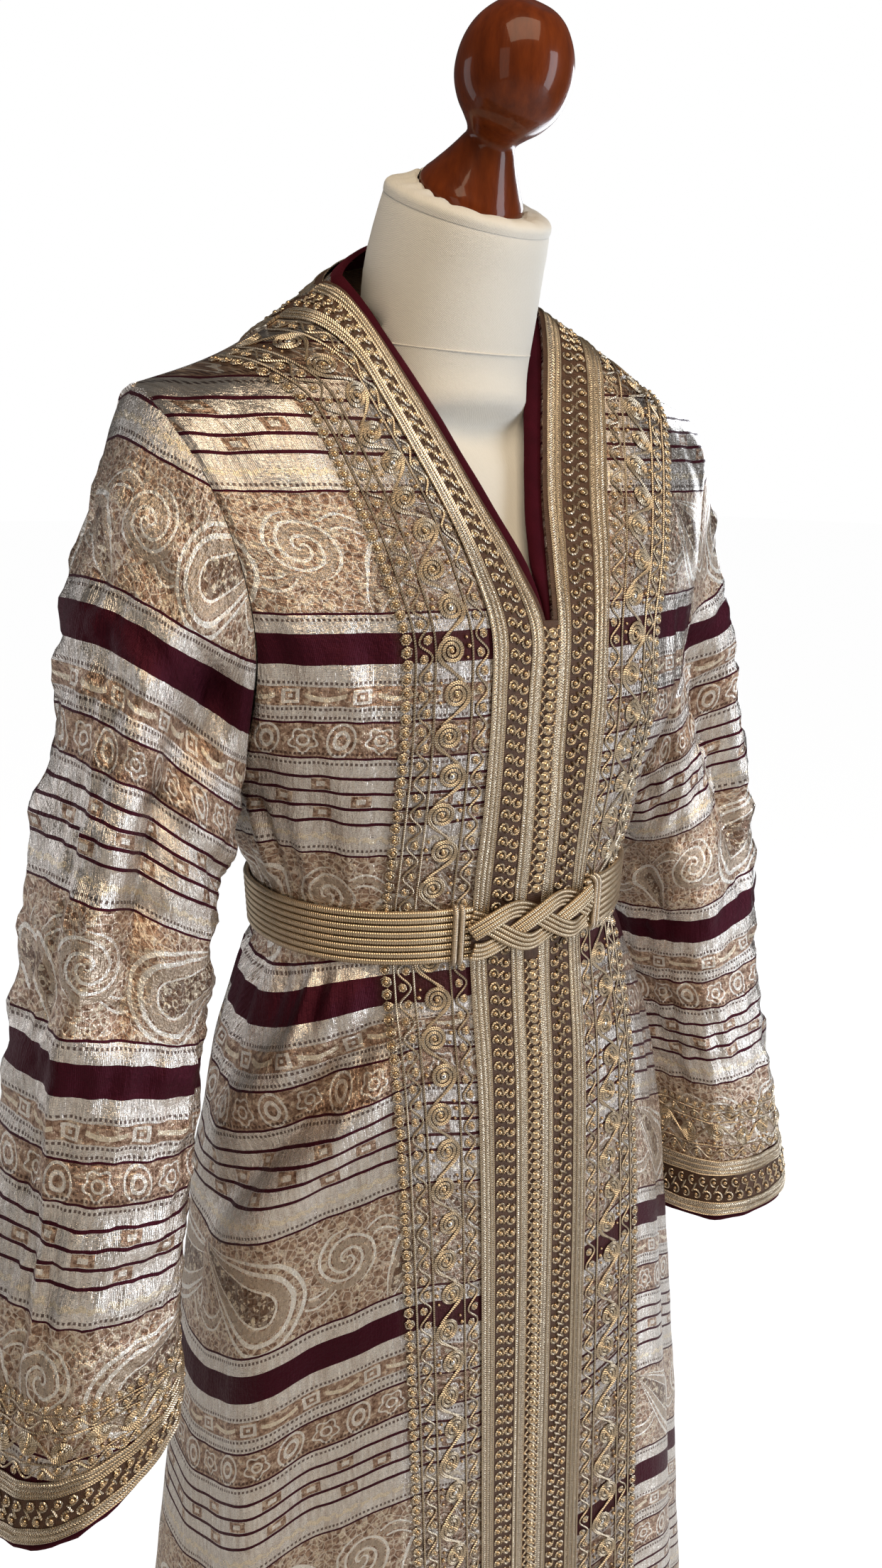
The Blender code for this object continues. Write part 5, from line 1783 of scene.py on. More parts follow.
    def stand(self, kit: "Materials") -> list[bpy.types.Object]:
        """The pole and the round base."""
        pole = np.array([(0.7775, 0.0002), (0.7775, self.pole_radius), (self.pole_foot_z, self.pole_radius),
                         (self.pole_foot_z, 0.0002)])
        zero = np.zeros(3)
        return [self.turned("stand_pole", pole, 48, 0, 0.0, zero, kit.wood),
                self.turned("stand_base", self.base_profile, 80, 56, 0.0, zero, kit.wood)]


class Field:
    """A value that varies over a surface, held as the node socket that gives it."""

    def __init__(self, graph: "Graph", socket: bpy.types.NodeSocket) -> None:
        """Keep the graph and the socket."""
        self.graph = graph
        self.socket = socket

    def __add__(self, other: "Field | float") -> "Field":
        """Sum."""
        return self.graph.math("ADD", self, other)

    def __radd__(self, other: float) -> "Field":
        """Sum."""
        return self.graph.math("ADD", other, self)

    def __sub__(self, other: "Field | float") -> "Field":
        """Difference."""
        return self.graph.math("SUBTRACT", self, other)

    def __rsub__(self, other: float) -> "Field":
        """Difference."""
        return self.graph.math("SUBTRACT", other, self)

    def __mul__(self, other: "Field | float") -> "Field":
        """Product."""
        return self.graph.math("MULTIPLY", self, other)

    def __rmul__(self, other: float) -> "Field":
        """Product."""
        return self.graph.math("MULTIPLY", other, self)

    def __truediv__(self, other: "Field | float") -> "Field":
        """Quotient."""
        return self.graph.math("DIVIDE", self, other)

    def wrapped(self, period: float) -> "Field":
        """Distance from the nearest multiple of the period."""
        return self.graph.math("WRAP", self, period / 2, -period / 2)

    def near(self, centre: "Field | float", half: float) -> "Field":
        """One where the value is within half of the centre, else zero."""
        return self.graph.math("COMPARE", self, centre, half)

    def above(self, limit: "Field | float") -> "Field":
        """One above the limit, else zero."""
        return self.graph.math("GREATER_THAN", self, limit)

    def below(self, limit: "Field | float") -> "Field":
        """One below the limit, else zero."""
        return self.graph.math("LESS_THAN", self, limit)

    def size(self) -> "Field":
        """Absolute value."""
        return self.graph.math("ABSOLUTE", self)

    def sine(self) -> "Field":
        """Sine."""
        return self.graph.math("SINE", self)


class Graph:
    """Adds nodes to one node tree and gives their outputs as fields."""

    def __init__(self, tree: bpy.types.NodeTree) -> None:
        """Start at the left of an empty tree."""
        self.tree = tree
        self.count = 0

    def node(self, kind: str, **settings: object) -> bpy.types.Node:
        """Add a node and set its options."""
        made = self.tree.nodes.new(kind)
        made.location = (180 * (self.count // 12), -160 * (self.count % 12))
        made.hide = True
        self.count += 1
        for name, value in settings.items():
            setattr(made, name, value)
        return made

    def plug(self, socket: bpy.types.NodeSocket, value: object) -> None:
        """Link a field to a socket, or set the socket's own value."""
        if isinstance(value, Field):
            self.tree.links.new(value.socket, socket)
        else:
            socket.default_value = value

    def math(self, operation: str, *values: object) -> Field:
        """One math node."""
        made = self.node("ShaderNodeMath", operation=operation)
        for socket, value in zip(made.inputs, values):
            self.plug(socket, value)
        return Field(self, made.outputs[0])

    def length(self, x: Field, y: Field) -> Field:
        """Length of the vector (x, y)."""
        return self.math("SQRT", x * x + y * y)

    def mix(self, share: Field, first: object, second: object) -> Field:
        """Colour that goes from the first to the second."""
        made = self.node("ShaderNodeMix", data_type="RGBA")
        self.plug(made.inputs["Factor"], share)
        self.plug(made.inputs[6], first)
        self.plug(made.inputs[7], second)
        return Field(self, made.outputs[2])

    def pair(self, x: Field | float, y: Field | float) -> Field:
        """Vector from two values."""
        made = self.node("ShaderNodeCombineXYZ")
        self.plug(made.inputs[0], x)
        self.plug(made.inputs[1], y)
        return Field(self, made.outputs[0])

    def split(self, vector: Field) -> tuple[Field, Field, Field]:
        """The three values of a vector."""
        made = self.node("ShaderNodeSeparateXYZ")
        self.plug(made.inputs[0], vector)
        return tuple(Field(self, out) for out in made.outputs)

    def noise(self, vector: Field, scale: float, detail: float = 2.0, rough: float = 0.5) -> Field:
        """Soft noise, about 0.5."""
        made = self.node("ShaderNodeTexNoise")
        self.plug(made.inputs["Vector"], vector)
        made.inputs["Scale"].default_value = scale
        made.inputs["Detail"].default_value = detail
        made.inputs["Roughness"].default_value = rough
        return Field(self, made.outputs["Fac"])

    def cells(self, vector: Field, scale: float, feature: str = "F1") -> Field:
        """Distance to the nearest of scattered points, or to the border between them."""
        made = self.node("ShaderNodeTexVoronoi", feature=feature)
        self.plug(made.inputs["Vector"], vector)
        made.inputs["Scale"].default_value = scale
        return Field(self, made.outputs["Distance"])


def new_group(name: str, inputs: dict[str, str],
              outputs: dict[str, str]) -> tuple[bpy.types.NodeTree, Graph, dict, bpy.types.Node]:
    """An empty shader node group with named sockets.

    Args:
        name: the group's name.
        inputs: socket types by name.
        outputs: socket types by name.

    Returns:
        The tree, its graph, its input fields by name and its output node.
    """
    tree = bpy.data.node_groups.new(name, "ShaderNodeTree")
    for socket, kind in inputs.items():
        tree.interface.new_socket(name=socket, in_out="INPUT", socket_type=kind)
    for socket, kind in outputs.items():
        tree.interface.new_socket(name=socket, in_out="OUTPUT", socket_type=kind)
    graph = Graph(tree)
    source = graph.node("NodeGroupInput")
    fields = {socket: Field(graph, source.outputs[socket]) for socket in inputs}
    return tree, graph, fields, graph.node("NodeGroupOutput")


@dataclass(frozen=True)
class Dye:
    """A thread's colour, with how metallic and rough it is."""

    colour: tuple[float, float, float]
    metallic: float
    roughness: float

    @property
    def rgba(self) -> tuple[float, float, float, float]:
        """The colour with full alpha."""
        return (*self.colour, 1.0)


SILVER = Dye((0.560, 0.500, 0.420), 0.92, 0.26)
GROUND = Dye((0.330, 0.240, 0.165), 0.82, 0.36)
MAROON = Dye((0.052, 0.0036, 0.0120), 0.0, 0.62)


class BrocadePattern:
    """The banded brocade as a shader group that reads metres across and along the cloth.

    One repeat is 255 mm.  Down from the top of the dark band: the dark band, silver,
    a key border, drops and eyes, four dark stripes round silver ones, a gold
    squiggle, and a deep band of leaf shapes and hooks.
    """

    repeat: float = 255.0
    dark_lines: tuple[float, ...] = (60.6, 86.6, 161.0, 241.6)
    dot_rows: tuple[float, ...] = (33.4, 51.5, 57.4, 83.4, 90.6, 156.8, 245.8)

    def leaf(self, g: Graph, u: Field, q: Field, place: tuple[float, float], turn_deg: float, length: float,
             width: float, bend: float) -> Field:
        """A bent drop shape: 0 in its heart, 1 at its outline, more outside.

        Behind the round end's centre the level is the distance over the radius.  Ahead
        of it the level is |x - bend·t²| over radius·(1 - t)·(1 + 0.45·t), where t runs
        from the centre to the tip.

        Args:
            g: the graph.
            u: millimetres across.
            q: millimetres along.
            place: the centre of the round end.
            turn_deg: heading of the tip.
            length: from the centre to the tip.
            width: width of the round end.
            bend: how far its tip leans.

        Returns:
            The shape's level.
        """
        c, s = math.cos(math.radians(turn_deg)), math.sin(math.radians(turn_deg))
        du, dq = u - place[0], q - place[1]
        ahead = du * c + dq * s
        t = g.math("MINIMUM", g.math("MAXIMUM", ahead, 0.0) * (1.0 / length), 1.0)
        x = du * -s + dq * c - t * t * bend
        radius = (1.0 - t) * (t * 0.45 + 1.0) * (0.5 * width) + 0.25
        return g.length(x, g.math("MINIMUM", ahead, 0.0)) / radius

    def hook(self, g: Graph, u: Field, q: Field, place: tuple[float, float], pitch: float,
             spin: float) -> Field:
        """Distance from the middle of a spiral arm, as a share of its pitch: 0 to 0.5."""
        du, dq = u - place[0], q - place[1]
        turn = g.math("ARCTAN2", dq, du) * (spin / math.tau)
        return (g.length(du, dq) * (1.0 / pitch) - turn).wrapped(1.0).size()

    def build(self) -> bpy.types.NodeTree:
        """Make the group: cloth place in; colour, metallic, roughness and height out."""
        tree, g, fields, output = new_group(
            "Brocade pattern", {"Cloth": "NodeSocketVector"},
            {"Colour": "NodeSocketColor", "Metallic": "NodeSocketFloat", "Roughness": "NodeSocketFloat",
             "Height": "NodeSocketFloat"})
        cloth = fields["Cloth"]
        across, along, _ = g.split(cloth)
        soft = g.noise(cloth, 55.0, 2.0)
        crinkle = g.noise(cloth, 200.0, 3.0, 0.62)
        streak = g.noise(g.pair(across * 7.0, along), 46.0, 3.0, 0.6)
        pebble = g.noise(cloth, 420.0, 2.0, 0.55)
        u = across * 1000.0 + (soft - 0.5) * 3.0
        v = along * -1000.0 + (soft - 0.5) * 1.6
        q = g.math("WRAP", v, self.repeat, 0.0)

        dark = q.near(10.6, 10.6)
        lines = q.near(self.dark_lines[0], 0.8)
        for height in self.dark_lines[1:]:
            lines = lines + q.near(height, 0.8)
        stripe_zone = q.near(118.75, 19.2)
        stripes = (q - 101.3).wrapped(11.63).near(0.0, 1.15) * stripe_zone
        strip_index = g.math("FLOOR", (q - 101.3) * (1.0 / 11.63))
        box_u = (u + strip_index * 26.0).wrapped(54.0)
        box_level = g.math("MAXIMUM", box_u.size() * 0.62, (q - 107.1).wrapped(11.63).size())
        box = box_level.below(4.2) * stripe_zone
        box_hole = box_level.below(1.9) * stripe_zone

        rows = q.near(self.dot_rows[0], 1.0)
        for height in self.dot_rows[1:]:
            rows = rows + q.near(height, 1.0)
        dots = rows * u.wrapped(3.1).near(0.0, 0.85)

        key_v = q - 42.6
        key_zone = key_v.near(0.0, 6.6)
        key_u = u.wrapped(46.0)
        key_box = g.math("MAXIMUM", key_u.size() * 0.8, key_v.size())
        key_ring = key_box.near(3.9, 1.0) + key_box.below(1.2)
        boat_u = (u - 23.0).wrapped(46.0)
        boat = (key_v + boat_u * boat_u * 0.016).near(1.8, 1.7) * boat_u.size().below(13.0)

        drop_v = q - 73.6
        drop_zone = drop_v.near(0.0, 12.4)
        drop_u = u.wrapped(50.0)
        drop_far = g.length(drop_u, drop_v * 0.80 + drop_u * 0.14)
        drop_ring = drop_far.near(9.0, 0.8) + drop_far.near(4.4, 1.2)
        petal_u = (u - 25.0).wrapped(50.0)
        petal_far = g.length(petal_u, drop_v)
        petal_turn = g.math("ARCTAN2", drop_v, petal_u) * 5.0
        petal = (petal_far - petal_turn.sine() * 1.3).near(8.2, 0.8) + petal_far.near(3.6, 0.8)

        squiggle = (q - 148.6 - (u * (math.tau / 9.0)).sine() * 1.0).near(0.0, 2.0) * crinkle.above(0.44)

        leaf_zone = q.near(201.3, 39.6)
        leaf_u = (u - 11.0).wrapped(198.0)
        big = self.leaf(g, leaf_u, q, (-30.0, 209.0), 207.0, 74.0, 50.0, 9.0)
        small = self.leaf(g, leaf_u, q, (83.0, 206.0), 128.0, 44.0, 26.0, -8.0)
        hook = self.hook(g, leaf_u, q, (34.0, 197.0), 16.0, 1.0)
        near_hook = g.length(leaf_u - 34.0, q - 197.0).below(23.0)
        vine = (q - 201.0 - (leaf_u * (math.tau / 99.0) + 0.9).sine() * 21.0).size() * (1.0 - near_hook) \
            + near_hook * 20.0
        free = big.above(1.42) * small.above(1.3)
        edges = big.near(1.0, 0.07) + big.near(1.30, 0.06) + big.near(0.50, 0.035) + small.near(1.0, 0.12) \
            + (hook.near(0.29, 0.065) * near_hook + vine.near(4.4, 0.9)) * free
        bands = big.near(0.73, 0.15) + small.near(0.60, 0.16) \
            + (hook.below(0.15) * near_hook + vine.below(1.7)) * free
        core = g.math("MINIMUM", big.below(0.46) + small.below(0.40), 1.0)
        edges = g.math("MINIMUM", edges, 1.0) * leaf_zone
        bands = g.math("MINIMUM", bands, 1.0) * leaf_zone
        flecks = g.cells(cloth, 120.0).near(0.26, 0.07) * leaf_zone * (1.0 - bands) * (1.0 - edges)

        brown = g.math("MINIMUM", leaf_zone + drop_zone + key_zone + box, 1.0)
        small_work = ((drop_ring + petal) * drop_zone + key_ring * key_zone + box_hole) * 0.85
        raised = g.math("MINIMUM", edges + small_work, 1.0)
        # Painted glints: bright colour on the crests of the crinkle in the brown bands. The gold mask below
        # carries them along with the pattern's gold squiggle, boats and flecks.
        glint = crinkle.above(0.57) * brown * (1.0 - raised) * (1.0 - bands)
        gold = g.math("MINIMUM", squiggle + boat * key_zone + glint * (core * 0.5 + 0.45) + flecks * 0.6, 1.0)
        maroon = g.math("MINIMUM", dark + lines + stripes, 1.0)

        tracery = g.cells(cloth, 165.0, "DISTANCE_TO_EDGE").below(0.062)
        tracery = tracery * leaf_zone * (1.0 - bands) * (1.0 - raised)
        # Painted highlight and shade: the silver is lighter and darker along the same streaks that tilt its
        # bump.
        silver_painted_streaks = g.mix(streak * 2.2 - 0.6, (0.560, 0.475, 0.410, 1.0), (0.850, 0.805, 0.755, 1.0))
        # Painted shade in the recesses of the crinkle and painted highlight on its crests: the brown ground's
        # colour follows the noises of its bump.
        grain = crinkle * 0.6 + pebble * 0.4
        ground_painted_light_and_shade = g.mix(grain * 3.6 - 1.35, (0.150, 0.074, 0.046, 1.0), (0.660, 0.465, 0.340, 1.0))
        colour = g.mix(brown, silver_painted_streaks, ground_painted_light_and_shade)
        colour = g.mix(tracery * 0.70, colour, (0.800, 0.690, 0.580, 1.0))
        colour = g.mix(core * leaf_zone * 0.60, colour, (0.085, 0.045, 0.028, 1.0))
        colour = g.mix(bands * 0.75, colour, (0.520, 0.430, 0.340, 1.0))
        colour = g.mix(raised * 0.95, colour, (0.900, 0.850, 0.780, 1.0))
        # Gold thread of the pattern, together with the painted glints.
        colour = g.mix(gold, colour, (0.800, 0.690, 0.540, 1.0))
        colour = g.mix(dots * 0.85, colour, (0.085, 0.040, 0.030, 1.0))
        colour = g.mix(maroon, colour, MAROON.rgba)
        metallic = (SILVER.metallic - brown * (SILVER.metallic - GROUND.metallic)) * (1.0 - maroon * 0.12)
        rough = SILVER.roughness + brown * 0.04 + maroon * 0.26 + (pebble - 0.5) * 0.30
        weave = (across * (math.tau / 0.0011)).sine() * 0.04 + (along * (math.tau / 0.0008)).sine() * 0.03
        relief = raised * 0.40 + tracery * 0.30 + bands * 0.30 + gold * 0.15 \
            + crinkle * (brown * 1.6 + 0.30) + streak * (1.0 - brown) * 0.6 + pebble * 0.5 \
            + soft * 1.2 + weave - maroon * 0.40 - dots * 0.25 + rows * 0.25
        g.plug(output.inputs["Colour"], colour)
        g.plug(output.inputs["Metallic"], metallic)
        g.plug(output.inputs["Roughness"], rough)
        g.plug(output.inputs["Height"], relief)
        return tree


def thread_group() -> bpy.types.NodeTree:
    """Twist of a cord as a group: turns round and metres along in, height and shade out."""
    tree, g, fields, output = new_group(
        "Twisted thread",
        {"Place": "NodeSocketVector", "Twist": "NodeSocketFloat", "Strands": "NodeSocketFloat"},
        {"Height": "NodeSocketFloat", "Shade": "NodeSocketFloat"})
    turn, along, _ = g.split(fields["Place"])
    phase = (turn * fields["Strands"] + along / fields["Twist"]) * math.tau
    wave = phase.sine()
    g.plug(output.inputs["Height"], wave)
    g.plug(output.inputs["Shade"], wave * 0.5 + 0.5)
    return tree


def glint_group() -> bpy.types.NodeTree:
    """Scattered bright specks of metal thread, painted as glints, as a group: place and scale in, mask out.
    """
    tree, g, fields, output = new_group(
        "Metal glints", {"Place": "NodeSocketVector", "Amount": "NodeSocketFloat"},
        {"Mask": "NodeSocketFloat", "Tone": "NodeSocketFloat"})
    fine = g.noise(fields["Place"], 900.0, 1.0)
    g.plug(output.inputs["Mask"], fine.above(0.72 - fields["Amount"] * 0.2))
    g.plug(output.inputs["Tone"], g.noise(fields["Place"], 45.0, 2.0))
    return tree


class Materials:
    """Every finish of the kaftan and its form."""

    def __init__(self) -> None:
        """Build the shared groups, then each material."""
        self.pattern = BrocadePattern().build()
        self.thread = thread_group()
        self.glints = glint_group()
        self.brocade = self.make_brocade()
        self.lining = self.make_lining()
        self.braid = self.make_braid()
        self.loop_ground = self.make_ground()
        self.fine_cord = self.make_cord("Gold cord", (0.940, 0.800, 0.600), (0.150, 0.090, 0.052),
                                        0.0016, 2.0, 0.90)
        self.belt_cord = self.make_cord("Belt cord", (0.780, 0.625, 0.435), (0.330, 0.240, 0.150),
                                        0.0016, 1.0, 0.90)
        self.wrapped = self.make_cord("Wrapped keeper", (0.820, 0.700, 0.550), (0.260, 0.180, 0.110),
                                      0.0009, 0.0, 0.86)
        self.bead = self.make_bead("Gold bead", (0.760, 0.540, 0.320), 0.92, 0.24)
        self.crystal = self.make_bead("Clear stone", (0.92, 0.90, 0.86), 0.95, 0.08)
        self.velvet = self.make_velvet()
        self.jersey = self.make_jersey()
        self.wood = self.make_wood()

    @staticmethod
    def start(name: str) -> tuple[bpy.types.Material, Graph, bpy.types.Node]:
        """A new material with its Principled shader."""
        material = bpy.data.materials.new(name)
        material.use_nodes = True
        shader = material.node_tree.nodes["Principled BSDF"]
        return material, Graph(material.node_tree), shader

    @staticmethod
    def group(g: Graph, tree: bpy.types.NodeTree, **values: object) -> bpy.types.Node:
        """Place a node group and set its inputs."""
        made = g.node("ShaderNodeGroup", node_tree=tree)
        for name, value in values.items():
            g.plug(made.inputs[name], value)
        return made

    @staticmethod
    def cloth_place(g: Graph) -> Field:
        """The piece's own flat places in metres."""
        return Field(g, g.node("ShaderNodeUVMap", uv_map="cloth").outputs[0])

    @staticmethod
    def object_place(g: Graph) -> Field:
        """Place in the row frame."""
        return Field(g, g.node("ShaderNodeTexCoord").outputs["Object"])

    @staticmethod
    def raise_by(g: Graph, shader: bpy.types.Node, height: Field, distance: float,
                 strength: float = 1.0) -> None:
        """Let a height tilt the shader's normal."""
        made = g.node("ShaderNodeBump")
        made.inputs["Strength"].default_value = strength
        made.inputs["Distance"].default_value = distance
        g.plug(made.inputs["Height"], height)
        g.plug(shader.inputs["Normal"], Field(g, made.outputs[0]))

    def make_brocade(self) -> bpy.types.Material:
        """Banded metal brocade, with painted shade round the embroidery's cords."""
        material, g, shader = self.start("Banded brocade")
        node = self.group(g, self.pattern, Cloth=self.cloth_place(g))
        # Painted shade: a dark mottle laid over the brocade in the zone round the embroidery, where the
        # cords' shadows fall.
        painted_shade_zone = Field(g, g.node("ShaderNodeAttribute", attribute_name="painted_shade_zone").outputs["Fac"])
        shadow = painted_shade_zone * (g.noise(self.cloth_place(g), 260.0, 1.0) * 0.6 + 0.08)
        shaded = g.mix(shadow, Field(g, node.outputs["Colour"]), (0.062, 0.030, 0.020, 1.0))
        g.plug(shader.inputs["Base Color"], shaded)
        g.plug(shader.inputs["Metallic"], Field(g, node.outputs["Metallic"]))
        g.plug(shader.inputs["Roughness"], Field(g, node.outputs["Roughness"]))
        self.raise_by(g, shader, Field(g, node.outputs["Height"]), 0.0013)
        return material

    def make_lining(self) -> bpy.types.Material:
        """The dull reverse of the brocade."""
        material, g, shader = self.start("Brocade reverse")
        place = self.cloth_place(g)
        tone = g.noise(place, 14.0, 2.0)
        g.plug(shader.inputs["Base Color"], g.mix(tone, (0.17, 0.10, 0.06, 1.0), (0.25, 0.16, 0.095, 1.0)))
        shader.inputs["Roughness"].default_value = 0.75
        _, along, _ = g.split(place)
        self.raise_by(g, shader, (along * (math.tau / 0.0010)).sine() * 0.4 + g.noise(place, 500.0), 0.0003)
        return material

    def make_braid(self) -> bpy.types.Material:
        """Glittering gold braid, plaited in slanting rows, with painted shade between the rows and painted
        glints.
        """
        material, g, shader = self.start("Gold braid")
        place = self.cloth_place(g)
        across, along, _ = g.split(place)
        rows = ((along + across.wrapped(0.0034).size() * 0.9) * (math.tau / 0.0019)).sine()
        node = self.group(g, self.glints, Place=place, Amount=0.85)
        mask, tone = Field(g, node.outputs["Mask"]), Field(g, node.outputs["Tone"])
        # Painted shade in the grooves between the plaited rows and painted highlight on their crests, along
        # the rows that tilt the bump.
        colour = g.mix(rows * 0.5 + 0.5, (0.150, 0.098, 0.062, 1.0), (0.780, 0.630, 0.450, 1.0))
        # Painted glints: bright specks of colour where the glint mask is on.
        colour = g.mix(mask * 0.9, colour, (0.950, 0.860, 0.680, 1.0))
        g.plug(shader.inputs["Base Color"], g.mix(tone * 0.35, colour, (0.420, 0.370, 0.320, 1.0)))
        shader.inputs["Metallic"].default_value = 0.88
        g.plug(shader.inputs["Roughness"], 0.40 - mask * 0.18)
        self.raise_by(g, shader, rows * 0.6 + g.noise(place, 900.0, 1.0) * 1.3, 0.00028)
        return material

    def make_ground(self) -> bpy.types.Material:
        """Brown ribbed ground under the loops."""
        material, g, shader = self.start("Brown trim ground")
        place = self.cloth_place(g)
        across, along, _ = g.split(place)
        tone = g.noise(place, 160.0, 2.0)
        colour = g.mix(tone, (0.034, 0.015, 0.008, 1.0), (0.140, 0.072, 0.042, 1.0))
        g.plug(shader.inputs["Base Color"], colour)
        shader.inputs["Metallic"].default_value = 0.40
        g.plug(shader.inputs["Roughness"], tone * 0.3 + 0.40)
        ribs = (across * (math.tau / 0.0012)).sine() * 0.5 + (along * (math.tau / 0.0016)).sine() * 0.4
        self.raise_by(g, shader, ribs + tone, 0.00016)
        return material

    def make_cord(self, name: str, bright: tuple[float, float, float], deep: tuple[float, float, float],
                  twist: float, strands: float, metallic: float) -> bpy.types.Material:
        """Metal thread wound round a core.

        Args:
            name: the material's name.
            bright: colour of the thread's crown, a painted highlight.
            deep: colour between turns, painted shade.
            twist: metres from one turn to the next.
            strands: threads round the cord; none gives plain rings.
            metallic: how metallic it is.

        Returns:
            The material.
        """
        material, g, shader = self.start(name)
        place = self.cloth_place(g)
        node = self.group(g, self.thread, Place=place, Twist=twist, Strands=strands)
        shade = Field(g, node.outputs["Shade"])
        where = self.object_place(g)
        tone = g.noise(where, 38.0, 2.0)
        # Painted shade between the turns of the twist and painted highlight on their crowns.
        colour = g.mix(shade, (*deep, 1.0), (*bright, 1.0))
        warm = tuple(0.8 * c for c in bright)
        g.plug(shader.inputs["Base Color"], g.mix(tone * 0.55, colour, (*warm, 1.0)))
        shader.inputs["Metallic"].default_value = metallic
        g.plug(shader.inputs["Roughness"], 0.38 - shade * 0.12 + (tone - 0.5) * 0.2)
        self.raise_by(g, shader, Field(g, node.outputs["Height"]), 0.00010)
        return material

    def make_bead(self, name: str, colour: tuple[float, float, float], metallic: float, rough: float
                  ) -> bpy.types.Material:
        """Small metal bead or stone, slightly uneven."""
        material, g, shader = self.start(name)
        where = self.object_place(g)
        tone = g.noise(where, 240.0, 1.0)
        dark = tuple(0.55 * c for c in colour)
        g.plug(shader.inputs["Base Color"], g.mix(tone, (*dark, 1.0), (*colour, 1.0)))
        shader.inputs["Metallic"].default_value = metallic
        g.plug(shader.inputs["Roughness"], tone * 0.25 + (rough - 0.10))
        self.raise_by(g, shader, g.noise(where, 900.0, 1.0), 0.00012)
        return material

    def make_velvet(self) -> bpy.types.Material:
        """Deep red velvet."""
        material, g, shader = self.start("Maroon velvet")
        where = self.object_place(g)
        tone = g.noise(where, 55.0, 3.0)
        colour = g.mix(tone, (0.018, 0.0010, 0.0032, 1.0), (0.060, 0.0032, 0.0100, 1.0))
        g.plug(shader.inputs["Base Color"], colour)
        shader.inputs["Roughness"].default_value = 0.9
        shader.inputs["Specular IOR Level"].default_value = 0.10
        shader.inputs["Sheen Weight"].default_value = 0.10
        shader.inputs["Sheen Roughness"].default_value = 0.4
        shader.inputs["Sheen Tint"].default_value = (0.70, 0.08, 0.16, 1.0)
        self.raise_by(g, shader, g.noise(where, 1400.0, 2.0), 0.0003)
        return material

    def make_jersey(self) -> bpy.types.Material:
        """Off-white jersey stretched over the form."""
        material, g, shader = self.start("Off-white jersey")
        where = self.object_place(g)
        tone = g.noise(where, 7.0, 3.0)
        g.plug(shader.inputs["Base Color"], g.mix(tone, (0.70, 0.66, 0.58, 1.0), (0.79, 0.765, 0.705, 1.0)))
        shader.inputs["Roughness"].default_value = 0.82
        shader.inputs["Sheen Weight"].default_value = 0.15
        x, y, z = g.split(where)
        knit = (z * (math.tau / 0.0011)).sine() * (x * (math.tau / 0.0009)).sine()
        self.raise_by(g, shader, knit * 0.5 + g.noise(where, 600.0, 1.0), 0.00016)
        return material

    def make_wood(self) -> bpy.types.Material:
        """Red-brown turned wood under a clear coat, its grain along the axis."""
        material, g, shader = self.start("Lacquered mahogany")
        where = self.object_place(g)
        x, y, z = g.split(where)
        stretched = g.node("ShaderNodeCombineXYZ")
        g.plug(stretched.inputs[0], x * 5.0)
        g.plug(stretched.inputs[1], y * 5.0)
        g.plug(stretched.inputs[2], z * 1.2)
        place = Field(g, stretched.outputs[0])
        grain = g.noise(place, 26.0, 5.0, 0.6)
        streak = g.noise(place, 110.0, 2.0)
        colour = g.mix(grain, (0.026, 0.0040, 0.0014, 1.0), (0.250, 0.050, 0.009, 1.0))
        g.plug(shader.inputs["Base Color"], g.mix(streak * 0.35, colour, (0.085, 0.017, 0.008, 1.0)))
        g.plug(shader.inputs["Roughness"], grain * 0.12 + 0.24)
        shader.inputs["Coat Weight"].default_value = 0.36
        shader.inputs["Specular IOR Level"].default_value = 0.06
        shader.inputs["Coat Roughness"].default_value = 0.07
        self.raise_by(g, shader, streak, 0.00012)
        return material


